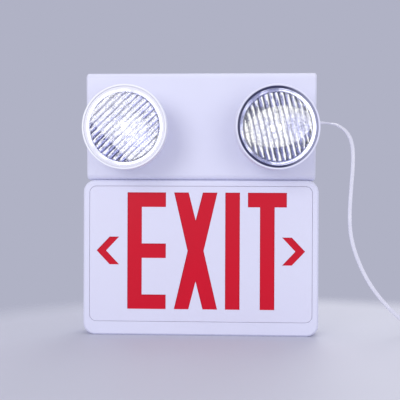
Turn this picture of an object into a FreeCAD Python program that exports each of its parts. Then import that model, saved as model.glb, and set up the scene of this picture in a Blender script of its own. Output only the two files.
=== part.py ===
"""Emergency exit light: two adjustable lamp heads on a battery housing, above a stencil sign box.

Frame: +X right, +Y back towards the wall, +Z up, in millimetres. The origin is the middle of the
face that the sign box stands on.
"""
import FreeCAD, Part
import math
import os
from types import SimpleNamespace

import Sketcher
from FreeCAD import Placement, Rotation, Vector

# Driving dimensions, in millimetres and degrees. Each goes to a cell of the sheet under its own name.
DIMENSIONS = {
    # Walls and fits that the mouldings share
    "wall": 2.5,
    "seat_gap": 0.2,
    "turn_gap": 0.3,
    "bore_gap": 0.05,
    "floor_gap": 0.3,
    # Sign box
    "sign_width": 306.8,
    "sign_height": 202.4,
    "sign_depth": 48.0,
    "sign_corner": 15.5,
    "sign_edge": 2.0,
    "border_side": 8.0,
    "border_top": 7.5,
    "border_bottom": 17.8,
    "panel_corner": 9.0,
    "panel_seam": 0.4,
    "panel_thick": 1.6,
    "red_thick": 1.0,
    "ledge_width": 4.0,
    "ledge_thick": 2.0,
    # Letters and arrows cut through the stencil panel
    "letter_height": 152.4,
    "letter_drop": 0.66,
    "letter_stroke": 19.0,
    "e_left": -95.5,
    "e_width": 50.5,
    "x_centre": -6.1,
    "x_width": 56.5,
    "x_waist": 20.9,
    "x_notch": 36.4,
    "i_left": 32.4,
    "t_left": 61.8,
    "t_width": 50.4,
    "chevron_tip": 136.0,
    "chevron_height": 36.4,
    "chevron_run": 17.2,
    "chevron_stroke": 12.6,
    # Back plates, which sit on ribs and are held by sprung arms
    "plate_thick": 3.0,
    "rib_width": 14.0,
    "rib_depth": 4.0,
    "rib_height": 2.0,
    "arm_width": 12.0,
    "arm_thick": 1.6,
    "arm_length": 12.0,
    "arm_spacing": 180.0,
    "rib_spacing": 240.0,
    # Hooks that join the two boxes, and the hole for the wires between them
    "hook_spacing": 220.0,
    "hook_width": 14.0,
    "hook_thick": 4.0,
    "hook_lip": 2.0,
    "wire_hole_place": -66.0,
    "wire_hole_side": 16.0,
    "grommet_flange": 2.0,
    "grommet_wall": 1.5,
    # Sign light
    "led_board_length": 270.0,
    "led_board_width": 12.0,
    "led_board_thick": 1.6,
    "led_count": 12.0,
    "led_side": 5.0,
    "led_height": 3.0,
    "led_rail_height": 6.0,
    # Upper housing
    "upper_bottom_width": 298.0,
    "upper_top_width": 300.9,
    "upper_height": 140.3,
    "upper_setback": 1.0,
    "upper_long_round": 8.0,
    "upper_side_bevel": 2.0,
    # Wall fixing
    "wire_entry_radius": 11.1,
    "wire_entry_level": 272.0,
    "keyhole_spacing": 200.0,
    "keyhole_level": 305.0,
    "keyhole_head": 4.5,
    "keyhole_slot": 2.2,
    "keyhole_rise": 9.0,
    # Lamp heads
    "head_spacing": 182.6,
    "head_level": 267.0,
    "pivot_reach": 22.0,
    "rim_reach": 45.0,
    "rim_radius": 52.5,
    "rim_lip": 2.4,
    "drum_back": 26.0,
    "drum_wall": 2.2,
    "hub_back": 12.0,
    "hub_radius": 18.0,
    "lens_gap": 0.2,
    "lens_seat": 40.0,
    "lens_flange": 2.5,
    "lens_crest": 46.9,
    "window_radius": 42.8,
    "window_wall": 2.6,
    "window_hollow": 3.0,
    "flute_count": 13.0,
    "flute_pitch": 6.6,
    "flute_round": 8.0,
    "flute_valley": 46.0,
    "flute_sag": 1.8,
    "trough_throat": 12.0,
    "trough_mouth": 36.0,
    "trough_reach": 44.0,
    "trough_round": 40.0,
    "reflector_wall": 1.6,
    "lamp_board_side": 22.0,
    "lamp_board_thick": 1.6,
    "emitter_side": 7.0,
    "emitter_height": 1.5,
    # Swivel joint of each head
    "tongue_thick": 8.0,
    "knuckle_radius": 9.0,
    "ear_thick": 4.5,
    "cheek_gap": 0.2,
    "foot_width": 34.0,
    "foot_height": 28.0,
    "foot_clip": 5.0,
    "foot_thick": 5.0,
    "spigot_radius": 8.0,
    "spigot_end": 2.5,
    "spigot_bore": 6.0,
    "neck_width": 11.0,
    "clip_thick": 1.5,
    "clip_side": 26.0,
    "pivot_radius": 2.5,
    "pivot_head_flats": 8.0,
    "pivot_head_height": 3.0,
    # How each head stands: the turn of its base about +Y, its tilt, and the lens in its rim
    "left_turn": -44.0,
    "left_tilt": 0.0,
    "left_lens_turn": 0.0,
    "right_turn": 90.0,
    "right_tilt": -8.5,
    "right_lens_turn": -12.5,
    # Test button and indicator in the left wall
    "button_side": 9.0,
    "button_proud": 1.2,
    "button_travel": 2.0,
    "button_length": 12.0,
    "button_level": 236.0,
    "switch_side": 14.0,
    "switch_depth": 13.0,
    "switch_spare": 0.5,
    "indicator_width": 5.0,
    "indicator_height": 2.5,
    "indicator_proud": 0.4,
    "indicator_length": 9.0,
    "indicator_level": 254.0,
    # Battery and charger
    "cell_radius": 11.5,
    "cell_count": 4.0,
    "cell_length": 43.0,
    "wrap_thick": 0.3,
    "strap_thick": 1.0,
    "strap_width": 10.0,
    "strap_foot": 9.0,
    "board_width": 104.0,
    "board_height": 76.0,
    "board_thick": 1.6,
    "board_level": 288.0,
    "board_standoff": 10.0,
    "board_post_side": 7.0,
    "board_post_inset": 5.0,
    "core_width": 36.0,
    "core_height": 30.0,
    "core_depth": 13.0,
    "core_limb": 10.0,
    "core_yoke": 5.0,
    "winding_depth": 22.0,
    "sink_width": 24.0,
    "sink_height": 20.0,
    "sink_depth": 16.0,
    "sink_base": 3.0,
    "sink_fin": 2.0,
    # Mains cord and plug
    "cord_width": 5.2,
    "cord_thick": 2.6,
    "cord_depth": 4.0,
    "cord_level": 279.5,
    "bushing_width": 10.0,
    "bushing_height": 7.0,
    "bushing_lip": 1.2,
    "bushing_proud": 4.5,
    "bushing_inside": 12.0,
    "coil_radius": 29.0,
    "coil_columns": 3.0,
    "coil_layers": 2.0,
    "coil_stub": 20.0,
    "coil_tail": 20.0,
    "tie_thick": 0.6,
    "tie_width": 6.0,
    "plug_width": 24.0,
    "plug_height": 12.0,
    "plug_length": 22.0,
    "plug_waist": 12.0,
    "plug_edge": 2.0,
    "plug_neck": 12.0,
    "plug_neck_width": 8.0,
    "plug_neck_height": 6.0,
    "blade_spacing": 12.7,
    "blade_width": 6.3,
    "blade_thick": 1.5,
    "blade_length": 16.5,
}

# What stands on the charger board: middle across it and up it, then width, height and depth.
BOARD_PARTS = {
    "relay": (5.0, 58.0, 19.0, 15.5, 15.0),
    "film_capacitor": (-28.0, 22.0, 26.0, 9.0, 16.0),
    "fuse_holder": (12.0, 30.0, 22.0, 7.0, 8.0),
    "lamp_socket_left": (-12.0, 9.0, 12.0, 7.0, 9.0),
    "lamp_socket_right": (12.0, 9.0, 12.0, 7.0, 9.0),
    "battery_socket": (36.0, 9.0, 14.0, 7.0, 9.0),
    "power_transistor": (37.5, 51.25, 10.0, 4.5, 15.0),
}
for part, sizes in BOARD_PARTS.items():
    for field, number in zip(("across", "up", "width", "height", "depth"), sizes):
        DIMENSIONS[f"{part}_{field}"] = number

# The cord's route from its bushing down to the coil, as corners of straight runs.
CORD_ROUTE = [
    (154.3, 4.0, 279.5),
    (168.5, 4.0, 279.5),
    (184.5, 4.0, 277.9),
    (198.0, 4.0, 268.6),
    (205.0, 4.0, 253.4),
    (203.7, 4.0, 231.0),
    (199.0, 4.5, 198.0),
    (196.5, 5.0, 162.0),
    (198.0, 6.0, 130.0),
    (206.5, 7.5, 101.0),
    (221.0, 9.5, 73.0),
    (239.5, 12.0, 47.5),
    (259.5, 15.0, 26.5),
    (272.0, 17.4, 14.3),
    (283.0, 19.2, 5.8),
    (293.5, 20.2, 2.2),
    (305.0, 20.2, 2.2),
]
ARC_SHARE = 0.45  # how much of the shorter run beside a corner its arc takes up
HIDDEN_SIDES = 24  # corners of a round that nobody sees closely

doc = FreeCAD.newDocument("exit_light")
sheet = doc.addObject("Spreadsheet::Sheet", "Sizes")
for row, (name, number) in enumerate(DIMENSIONS.items(), start=1):
    sheet.set(f"A{row}", name)
    sheet.set(f"B{row}", str(number))
    sheet.setAlias(f"B{row}", name)
doc.recompute()

nodes = []


# ---------------------------------------------------------------- sizes that carry their expression
def value_of(quantity):
    return quantity.value if isinstance(quantity, Size) else float(quantity)


def text_of(quantity):
    return quantity.text if isinstance(quantity, Size) else repr(float(quantity))


class Size:
    """A number together with the sheet expression that gives it, so that both follow one formula."""

    def __init__(self, value, text):
        self.value = value
        self.text = text

    def __add__(self, other):
        return Size(self.value + value_of(other), f"({self.text} + {text_of(other)})")

    def __radd__(self, other):
        return Size(value_of(other) + self.value, f"({text_of(other)} + {self.text})")

    def __sub__(self, other):
        return Size(self.value - value_of(other), f"({self.text} - ({text_of(other)}))")

    def __rsub__(self, other):
        return Size(value_of(other) - self.value, f"({text_of(other)} - {self.text})")

    def __mul__(self, other):
        return Size(self.value * value_of(other), f"({self.text} * ({text_of(other)}))")

    __rmul__ = __mul__

    def __truediv__(self, other):
        return Size(self.value / value_of(other), f"({self.text} / ({text_of(other)}))")

    def __neg__(self):
        return Size(-self.value, f"(-({self.text}))")


S = SimpleNamespace(**{name: Size(float(sheet.get(name)), f"Sizes.{name}") for name in DIMENSIONS})


# ---------------------------------------------------------------- drawing and feature helpers
FRONT, SIDE, TOP = "XZ_Plane", "YZ_Plane", "XY_Plane"
TOUCH = 0.01  # how near counts as lying on a plane when edges are picked


def bind(thing, prop, quantity):
    thing.setExpression(prop, text_of(quantity))


def new_body(name):
    body = doc.addObject("PartDesign::Body", name)
    body.Label = name
    nodes.append(body)
    return body


def sketch_on(body, role, at=0.0):
    """A sketch on one of the body's planes, moved to the depth at along that plane's world axis.

    FRONT draws (x, z) at y = at, SIDE draws (y, z) at x = at and TOP draws (x, y) at z = at.
    """
    sketch = body.newObject("Sketcher::SketchObject", "Sketch")
    plane = next(feature for feature in body.Origin.OriginFeatures if feature.Role == role)
    sketch.AttachmentSupport = [(plane, "")]
    sketch.MapMode = "FlatFace"
    bind(sketch, "AttachmentOffset.Base.z", -at if role == FRONT else at)
    return sketch


def pin_point(sketch, geometry, point, u, v):
    """Fixes a point of the sketch at (u, v) from the sketch's origin."""
    for kind, quantity in (("DistanceX", u), ("DistanceY", v)):
        constraint = Sketcher.Constraint(kind, -1, 1, geometry, point, value_of(quantity))
        index = sketch.addConstraint(constraint)
        if isinstance(quantity, Size):
            bind(sketch, f"Constraints[{index}]", quantity)


def set_radius(sketch, geometry, radius):
    index = sketch.addConstraint(Sketcher.Constraint("Radius", geometry, value_of(radius)))
    if isinstance(radius, Size):
        bind(sketch, f"Constraints[{index}]", radius)


def arc_between(start, end, radius):
    """The short arc from start to end with its centre to the left for a positive radius."""
    chord = end - start
    middle = (start + end) * 0.5
    side = Vector(-chord.y, chord.x, 0).normalize() * (1 if radius > 0 else -1)
    centre = middle + side * math.sqrt(max(radius * radius - (chord.Length / 2) ** 2, 0.0))
    first, last = (start, end) if radius > 0 else (end, start)
    angles = [math.atan2(point.y - centre.y, point.x - centre.x) for point in (first, last)]
    if angles[1] < angles[0]:
        angles[1] += 2 * math.pi
    return Part.ArcOfCircle(Part.Circle(centre, Vector(0, 0, 1), abs(radius)), *angles)


def draw_outline(sketch, corners):
    """Closes an outline through corners (u, v) or (u, v, radius), where an arc of that radius runs
    to the next corner: it bulges to the right of the way drawn, or to the left if negative."""
    ends = []
    for index, corner in enumerate(corners):
        after = corners[(index + 1) % len(corners)]
        start = Vector(value_of(corner[0]), value_of(corner[1]), 0)
        end = Vector(value_of(after[0]), value_of(after[1]), 0)
        if len(corner) == 3:
            radius = corner[2]
            geometry = sketch.addGeometry(arc_between(start, end, value_of(radius)))
            set_radius(sketch, geometry, radius if value_of(radius) > 0 else -radius)
            ends.append((geometry, 1, 2) if value_of(radius) > 0 else (geometry, 2, 1))
        else:
            geometry = sketch.addGeometry(Part.LineSegment(start, end))
            ends.append((geometry, 1, 2))
    for index, corner in enumerate(corners):
        geometry, first, last = ends[index]
        follower, follower_first, _ = ends[(index + 1) % len(corners)]
        sketch.addConstraint(Sketcher.Constraint("Coincident", geometry, last, follower, follower_first))
        pin_point(sketch, geometry, first, corner[0], corner[1])


def draw_circle(sketch, u, v, radius):
    circle = Part.Circle(Vector(value_of(u), value_of(v), 0), Vector(0, 0, 1), value_of(radius))
    geometry = sketch.addGeometry(circle)
    pin_point(sketch, geometry, 3, u, v)
    set_radius(sketch, geometry, radius)


def rectangle(left, right, bottom, top):
    return [(left, bottom), (right, bottom), (right, top), (left, top)]


def square(u, v, side):
    return rectangle(u - side / 2, u + side / 2, v - side / 2, v + side / 2)


def rounded_rectangle(left, right, bottom, top, radius):
    return [
        (left + radius, bottom),
        (right - radius, bottom, radius),
        (right, bottom + radius),
        (right, top - radius, radius),
        (right - radius, top),
        (left + radius, top, radius),
        (left, top - radius),
        (left, bottom + radius, radius),
    ]


def centred(u, v, width, height, margin=0.0):
    """A rectangle about (u, v), grown by a margin on every side."""
    across, tall = width / 2 + margin, height / 2 + margin
    return rectangle(u - across, u + across, v - tall, v + tall)


def clipped_rectangle(left, right, bottom, top, clip):
    """A rectangle with its corners cut off at 45 degrees."""
    return [
        (left + clip, bottom),
        (right - clip, bottom),
        (right, bottom + clip),
        (right, top - clip),
        (right - clip, top),
        (left + clip, top),
        (left, top - clip),
        (left, bottom + clip),
    ]


def polygon_round(u, v, radius, sides):
    """A regular polygon about (u, v) whose sides touch a circle, with flats towards the four axes."""
    step = 2 * math.pi / sides
    corner = radius / math.cos(step / 2)
    angles = [step * (index + 0.5) for index in range(sides)]
    return [(u + corner * math.cos(angle), v + corner * math.sin(angle)) for angle in angles]


def hexagon(u, v, flats):
    """A hexagon with two flats level, flats apart."""
    corner = flats / math.sqrt(3)
    return [
        (u - corner / 2, v - flats / 2),
        (u + corner / 2, v - flats / 2),
        (u + corner, v),
        (u + corner / 2, v + flats / 2),
        (u - corner / 2, v + flats / 2),
        (u - corner, v),
    ]


def finish_feature(body, feature, grows):
    """Recomputes, and checks that the feature added or removed material as it should."""
    before = body.Shape.Volume if not body.Shape.isNull() else 0.0
    doc.recompute()
    after = body.Shape.Volume
    if (after > before) != grows or abs(after - before) < 1e-6:
        raise RuntimeError(f"{body.Label}: {feature.Label} changed the volume from {before} to {after}")
    return feature


def extrude(body, kind, sketch, length, back, middle):
    feature = body.newObject(kind, kind.split("::")[1])
    feature.Profile = sketch
    sketch.Visibility = False
    if middle:
        feature.Midplane = True
    else:
        # A pad leaves its sketch along the plane's normal and a pocket against it.
        along_normal = back == (sketch.AttachmentSupport[0][0].Role != FRONT)
        feature.Reversed = along_normal == (kind == "PartDesign::Pocket")
    bind(feature, "Length", length)
    return finish_feature(body, feature, kind == "PartDesign::Pad")


def pad(body, sketch, length, back=True, middle=False):
    """Adds the outline over length towards +X, +Y or +Z, or the other way when back is False."""
    return extrude(body, "PartDesign::Pad", sketch, length, back, middle)


def pocket(body, sketch, length, back=True, middle=False):
    return extrude(body, "PartDesign::Pocket", sketch, length, back, middle)


def plate(name, role, at, outline, thick):
    """A new body that is one outline, padded from the plane at towards +X, +Y or +Z."""
    body = new_body(name)
    sketch = sketch_on(body, role, at)
    draw_outline(sketch, outline)
    pad(body, sketch, thick)
    return body


def picked_edges(shape, wanted):
    return [f"Edge{index}" for index, edge in enumerate(shape.Edges, start=1) if wanted(edge.BoundBox)]


def round_edges(body, radius, wanted, kind="PartDesign::Fillet"):
    """Rounds, or chamfers, the edges whose bounding boxes are wanted."""
    base = body.Tip
    names = picked_edges(base.Shape, wanted)
    if not names:
        raise RuntimeError(f"{body.Label}: no edge to round")
    feature = body.newObject(kind, kind.split("::")[1])
    feature.Base = (base, names)
    bind(feature, "Radius" if kind == "PartDesign::Fillet" else "Size", radius)
    doc.recompute()
    return feature


def runs_along(box, axis):
    lengths = {"X": box.XLength, "Y": box.YLength, "Z": box.ZLength}
    return all(length < TOUCH for name, length in lengths.items() if name != axis)


# ---------------------------------------------------------------- planes that several pieces share
SIGN_FRONT = -S.sign_depth / 2
WALL_PLANE = S.sign_depth / 2
SIGN_SIDE = S.sign_width / 2
PLATE_FRONT = WALL_PLANE - S.plate_thick
PANEL_BACK = SIGN_FRONT + S.panel_thick
LEDGE_FRONT = PANEL_BACK + S.red_thick
LEDGE_BACK = LEDGE_FRONT + S.ledge_thick
SIGN_CENTRE_DEPTH = (LEDGE_BACK + PLATE_FRONT) / 2

UPPER_BASE = S.sign_height
UPPER_TOP = S.sign_height + S.upper_height
UPPER_FRONT = SIGN_FRONT + S.upper_setback
UPPER_INSIDE = UPPER_FRONT + S.wall
BOARD_FRONT = UPPER_INSIDE + S.board_standoff
BOARD_BACK = BOARD_FRONT + S.board_thick

PAIR = (-1, 1)


def upper_side(level):
    """Half the width of the upper housing at a height: it widens a little towards its top."""
    slope = (S.upper_top_width - S.upper_bottom_width) / 2 / S.upper_height
    return S.upper_bottom_width / 2 + slope * (level - UPPER_BASE)


def panel_edges(inward):
    """The left, right, bottom and top of the sign's front opening, moved inward."""
    return (
        -SIGN_SIDE + S.border_side + inward,
        SIGN_SIDE - S.border_side - inward,
        S.border_bottom + inward,
        S.sign_height - S.border_top - inward,
    )


def sign_cavity(inward):
    across = SIGN_SIDE - S.wall - inward
    return clipped_rectangle(-across, across, S.wall + inward, S.sign_height - S.wall - inward, S.sign_corner / 2)


def upper_outline(inward):
    low = UPPER_BASE + inward
    high = UPPER_TOP - inward
    return [
        (inward - upper_side(low), low),
        (upper_side(low) - inward, low),
        (upper_side(high) - inward, high),
        (inward - upper_side(high), high),
    ]


def add_seat_ribs(body, bottom, top):
    """Ribs on the floor and roof of a box, on which its back plate rests."""
    ribs = sketch_on(body, FRONT, PLATE_FRONT)
    for side in PAIR:
        middle = side * S.rib_spacing / 2
        left, right = middle - S.rib_width / 2, middle + S.rib_width / 2
        draw_outline(ribs, rectangle(left, right, bottom, bottom + S.rib_height))
        draw_outline(ribs, rectangle(left, right, top - S.rib_height, top))
    pad(body, ribs, S.rib_depth, back=False)


def add_sprung_arms(body, bottom, top):
    """Arms that reach forward from a back plate and grip the floor and roof of its box."""
    arms = sketch_on(body, FRONT, PLATE_FRONT)
    for side in PAIR:
        middle = side * S.arm_spacing / 2
        left, right = middle - S.arm_width / 2, middle + S.arm_width / 2
        draw_outline(arms, rectangle(left, right, bottom + S.seat_gap, bottom + S.seat_gap + S.arm_thick))
        draw_outline(arms, rectangle(left, right, top - S.seat_gap - S.arm_thick, top - S.seat_gap))
    pad(body, arms, S.arm_length, back=False)


# ---------------------------------------------------------------- sign box
def make_sign_frame():
    """A moulded tray with a recess in its front for the stencil panel and the red sheet."""
    body = new_body("sign_frame")
    outline = sketch_on(body, FRONT)
    draw_outline(outline, rectangle(-SIGN_SIDE, SIGN_SIDE, 0, S.sign_height))
    pad(body, outline, S.sign_depth, middle=True)
    round_edges(body, S.sign_corner, lambda box: runs_along(box, "Y"))
    front = value_of(SIGN_FRONT)
    round_edges(body, S.sign_edge, lambda box: box.YMax < front + TOUCH, "PartDesign::Chamfer")

    recess = sketch_on(body, FRONT, SIGN_FRONT)
    draw_outline(recess, rounded_rectangle(*panel_edges(0), S.panel_corner))
    pocket(body, recess, LEDGE_FRONT - SIGN_FRONT)
    window = sketch_on(body, FRONT, LEDGE_FRONT)
    draw_outline(window, clipped_rectangle(*panel_edges(S.ledge_width), S.panel_corner / 2))
    pocket(body, window, S.ledge_thick)
    cavity = sketch_on(body, FRONT, WALL_PLANE)
    draw_outline(cavity, sign_cavity(0))
    pocket(body, cavity, WALL_PLANE - LEDGE_BACK, back=False)
    add_seat_ribs(body, S.wall, S.sign_height - S.wall)

    slots = sketch_on(body, TOP, S.sign_height)
    draw_outline(slots, square(S.wire_hole_place, SIGN_CENTRE_DEPTH, S.wire_hole_side))
    for side in PAIR:
        middle = side * S.hook_spacing / 2
        across = S.hook_width / 2 + S.seat_gap
        front = -S.hook_thick / 2 - S.hook_lip - S.seat_gap
        draw_outline(
            slots, rectangle(middle - across, middle + across, front, S.hook_thick / 2 + S.seat_gap)
        )
    pocket(body, slots, S.wall, back=False)

    rail = sketch_on(body, SIDE)
    half = S.wall / 2
    top = S.wall + S.led_rail_height
    draw_outline(rail, rectangle(SIGN_CENTRE_DEPTH - half, SIGN_CENTRE_DEPTH + half, S.wall, top))
    pad(body, rail, S.led_board_length, middle=True)
    return body


def letter_outlines():
    """The four letters and two arrows, each as one closed outline."""
    bottom, top_edge = panel_edges(0)[2:]
    base = bottom + (top_edge - bottom - S.letter_height) * S.letter_drop
    top = base + S.letter_height
    stroke = S.letter_stroke
    centre = base + S.letter_height / 2
    left = S.e_left
    right = left + S.e_width
    inner = left + stroke
    letter_e = [
        (left, base),
        (right, base),
        (right, base + stroke),
        (inner, base + stroke),
        (inner, centre - stroke / 2),
        (right, centre - stroke / 2),
        (right, centre + stroke / 2),
        (inner, centre + stroke / 2),
        (inner, top - stroke),
        (right, top - stroke),
        (right, top),
        (left, top),
    ]
    half = S.x_width / 2
    waist = S.x_waist / 2
    middle = S.x_centre
    letter_x = [
        (middle - half, base),
        (middle - half + stroke, base),
        (middle, base + S.x_notch),
        (middle + half - stroke, base),
        (middle + half, base),
        (middle + waist, centre),
        (middle + half, top),
        (middle + half - stroke, top),
        (middle, top - S.x_notch),
        (middle - half + stroke, top),
        (middle - half, top),
        (middle - waist, centre),
    ]
    letter_i = rectangle(S.i_left, S.i_left + stroke, base, top)
    stem = S.t_left + (S.t_width - stroke) / 2
    letter_t = [
        (stem, base),
        (stem + stroke, base),
        (stem + stroke, top - stroke),
        (S.t_left + S.t_width, top - stroke),
        (S.t_left + S.t_width, top),
        (S.t_left, top),
        (S.t_left, top - stroke),
        (stem, top - stroke),
    ]
    tip = S.chevron_tip
    tall = S.chevron_height / 2
    back = tip - S.chevron_run
    arrow_right = [
        (tip, centre),
        (back, centre + tall),
        (back - S.chevron_stroke, centre + tall),
        (tip - S.chevron_stroke, centre),
        (back - S.chevron_stroke, centre - tall),
        (back, centre - tall),
    ]
    arrow_left = [(-u, v) for u, v in arrow_right]
    return [letter_e, letter_x, letter_i, letter_t, arrow_right, arrow_left]


def make_sign_face():
    """The stencil panel, flush in the frame, with its signs cut through."""
    body = new_body("sign_face")
    outline = sketch_on(body, FRONT, SIGN_FRONT)
    seam = S.panel_seam
    draw_outline(outline, rounded_rectangle(*panel_edges(seam), S.panel_corner - seam))
    pad(body, outline, S.panel_thick)
    letters = sketch_on(body, FRONT, SIGN_FRONT)
    for letter in letter_outlines():
        draw_outline(letters, letter)
    pocket(body, letters, S.panel_thick)


def make_sign_back_plate():
    body = plate("sign_back_plate", FRONT, PLATE_FRONT, sign_cavity(S.seat_gap), S.plate_thick)
    add_sprung_arms(body, S.wall, S.sign_height - S.wall)


def make_sign_light():
    """A strip of LEDs that stands on the frame's bottom rail and lights the box from below."""
    under = S.wall + S.led_rail_height
    half = S.led_board_length / 2
    deep = S.led_board_width / 2
    board = rectangle(-half, half, SIGN_CENTRE_DEPTH - deep, SIGN_CENTRE_DEPTH + deep)
    plate("sign_led_board", TOP, under, board, S.led_board_thick)
    leds = new_body("sign_leds")
    sketch = sketch_on(leds, TOP, under + S.led_board_thick)
    pitch = S.led_board_length / S.led_count
    for index in range(int(S.led_count.value)):
        draw_outline(sketch, square(pitch * (index + 0.5) - half, SIGN_CENTRE_DEPTH, S.led_side))
    pad(leds, sketch, S.led_height)


def make_sign_box():
    make_sign_frame()
    make_sign_face()
    clip = S.panel_corner * 0.75
    red = clipped_rectangle(*panel_edges(S.panel_seam), clip)
    plate("red_lens", FRONT, PANEL_BACK, red, S.red_thick)
    make_sign_back_plate()
    make_sign_light()


# ---------------------------------------------------------------- upper housing
def make_upper_housing():
    """The battery housing: a deep moulded cover, open at the back, with hooks under its floor."""
    body = new_body("upper_housing")
    outline = sketch_on(body, FRONT, UPPER_FRONT)
    draw_outline(outline, upper_outline(0))
    pad(body, outline, WALL_PLANE - UPPER_FRONT)
    front = value_of(UPPER_FRONT)
    narrow = value_of(S.upper_bottom_width) / 2
    back = value_of(WALL_PLANE)
    round_edges(body, S.upper_long_round, lambda box: box.YMax < front + TOUCH and box.XLength > narrow)
    round_edges(
        body,
        S.upper_side_bevel,
        lambda box: box.XLength < narrow and box.YMin < back - TOUCH,
        "PartDesign::Chamfer",
    )
    cavity = sketch_on(body, FRONT, WALL_PLANE)
    draw_outline(cavity, upper_outline(S.wall))
    pocket(body, cavity, WALL_PLANE - UPPER_INSIDE, back=False)
    add_seat_ribs(body, UPPER_BASE + S.wall, UPPER_TOP - S.wall)
    inside = value_of(UPPER_INSIDE)
    round_edges(
        body,
        S.upper_long_round - S.wall,
        lambda box: abs(box.YMax - inside) < TOUCH and box.XLength > narrow,
    )

    swivels = sketch_on(body, FRONT, UPPER_FRONT)
    for side in PAIR:
        draw_circle(swivels, side * S.head_spacing / 2, S.head_level, S.spigot_radius + S.bore_gap)
    pocket(body, swivels, S.wall)

    posts = sketch_on(body, FRONT, UPPER_INSIDE)
    for across, level in board_corners():
        draw_outline(posts, square(across, level, S.board_post_side))
    pad(body, posts, S.board_standoff)

    wire_hole = sketch_on(body, TOP, UPPER_BASE)
    draw_outline(wire_hole, square(S.wire_hole_place, SIGN_CENTRE_DEPTH, S.wire_hole_side))
    pocket(body, wire_hole, S.wall)
    add_joining_hooks(body)

    reach = (S.upper_bottom_width + S.upper_top_width) / 2
    cord_hole = sketch_on(body, SIDE)
    draw_outline(cord_hole, centred(S.cord_depth, S.cord_level, S.bushing_width, S.bushing_height, S.seat_gap))
    pocket(body, cord_hole, reach)
    wall_holes = sketch_on(body, SIDE)
    draw_outline(wall_holes, square(0, S.button_level, S.button_side + 2 * S.seat_gap))
    window = centred(0, S.indicator_level, S.indicator_width, S.indicator_height, S.seat_gap)
    draw_outline(wall_holes, window)
    pocket(body, wall_holes, reach, back=False)


def board_corners():
    across = S.board_width / 2 - S.board_post_inset
    tall = S.board_height / 2 - S.board_post_inset
    return [(x * across, S.board_level + z * tall) for x in PAIR for z in PAIR]


def add_joining_hooks(body):
    """Hooks that drop through slots in the sign box's roof and catch under it."""
    foot = UPPER_BASE - S.wall - S.seat_gap - S.hook_lip
    back = S.hook_thick / 2
    profile = [
        (-back, UPPER_BASE + S.wall),
        (-back, UPPER_BASE - S.wall - S.seat_gap),
        (-back - S.hook_lip, UPPER_BASE - S.wall - S.seat_gap),
        (-back - S.hook_lip, foot),
        (back, foot),
        (back, UPPER_BASE + S.wall),
    ]
    for side in PAIR:
        hook = sketch_on(body, SIDE, side * S.hook_spacing / 2 - S.hook_width / 2)
        draw_outline(hook, profile)
        pad(body, hook, S.hook_width)


def make_upper_back_plate():
    """The wall plate: it hangs on two keyholes, and the supply comes in through its round hole."""
    body = plate("upper_back_plate", FRONT, PLATE_FRONT, upper_outline(S.wall + S.seat_gap), S.plate_thick)
    add_sprung_arms(body, UPPER_BASE + S.wall, UPPER_TOP - S.wall)
    holes = sketch_on(body, FRONT, PLATE_FRONT)
    draw_circle(holes, 0, S.wire_entry_level, S.wire_entry_radius)
    slots = sketch_on(body, FRONT, PLATE_FRONT)
    for side in PAIR:
        middle = side * S.keyhole_spacing / 2
        high = S.keyhole_level + S.keyhole_rise
        draw_circle(holes, middle, S.keyhole_level, S.keyhole_head)
        draw_circle(holes, middle, high, S.keyhole_slot)
        draw_outline(slots, rectangle(middle - S.keyhole_slot, middle + S.keyhole_slot, S.keyhole_level, high))
    pocket(body, holes, S.plate_thick)
    pocket(body, slots, S.plate_thick)


def make_wire_grommet():
    """A square sleeve that lines the wires' way from one box to the other."""
    middle = S.wire_hole_place, SIGN_CENTRE_DEPTH
    side = S.wire_hole_side - 2 * S.seat_gap
    body = plate("wire_grommet", TOP, UPPER_BASE - S.wall, square(*middle, side), 2 * S.wall)
    flange = sketch_on(body, TOP, UPPER_BASE + S.wall)
    draw_outline(flange, square(*middle, side + 2 * S.grommet_flange))
    pad(body, flange, S.grommet_wall)
    bore = sketch_on(body, TOP, UPPER_BASE - S.wall)
    draw_outline(bore, square(*middle, side - 2 * S.grommet_wall))
    pocket(body, bore, 2 * S.wall + S.grommet_wall)


def make_test_switch():
    """The test button slides through the left wall into its switch, and the indicator sits above."""
    outside = -upper_side(S.button_level)
    switch_left = outside + S.wall + S.seat_gap
    body = plate("test_switch", SIDE, switch_left, square(0, S.button_level, S.switch_side), S.switch_depth)
    bore = sketch_on(body, SIDE, switch_left)
    draw_outline(bore, square(0, S.button_level, S.button_side + 2 * S.seat_gap))
    button_right = outside - S.button_proud + S.button_length
    pocket(body, bore, button_right + S.button_travel + S.switch_spare - switch_left)
    button = square(0, S.button_level, S.button_side)
    plate("test_button", SIDE, outside - S.button_proud, button, S.button_length)

    lamp_left = -upper_side(S.indicator_level) - S.indicator_proud
    window = centred(0, S.indicator_level, S.indicator_width, S.indicator_height, 0)
    lamp = plate("indicator_led", SIDE, lamp_left, window, S.indicator_length)
    collar = sketch_on(lamp, SIDE, lamp_left + S.indicator_proud + S.wall + S.seat_gap)
    draw_outline(collar, centred(0, S.indicator_level, S.indicator_width, S.indicator_height, S.grommet_wall))
    pad(lamp, collar, S.grommet_wall)


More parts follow.
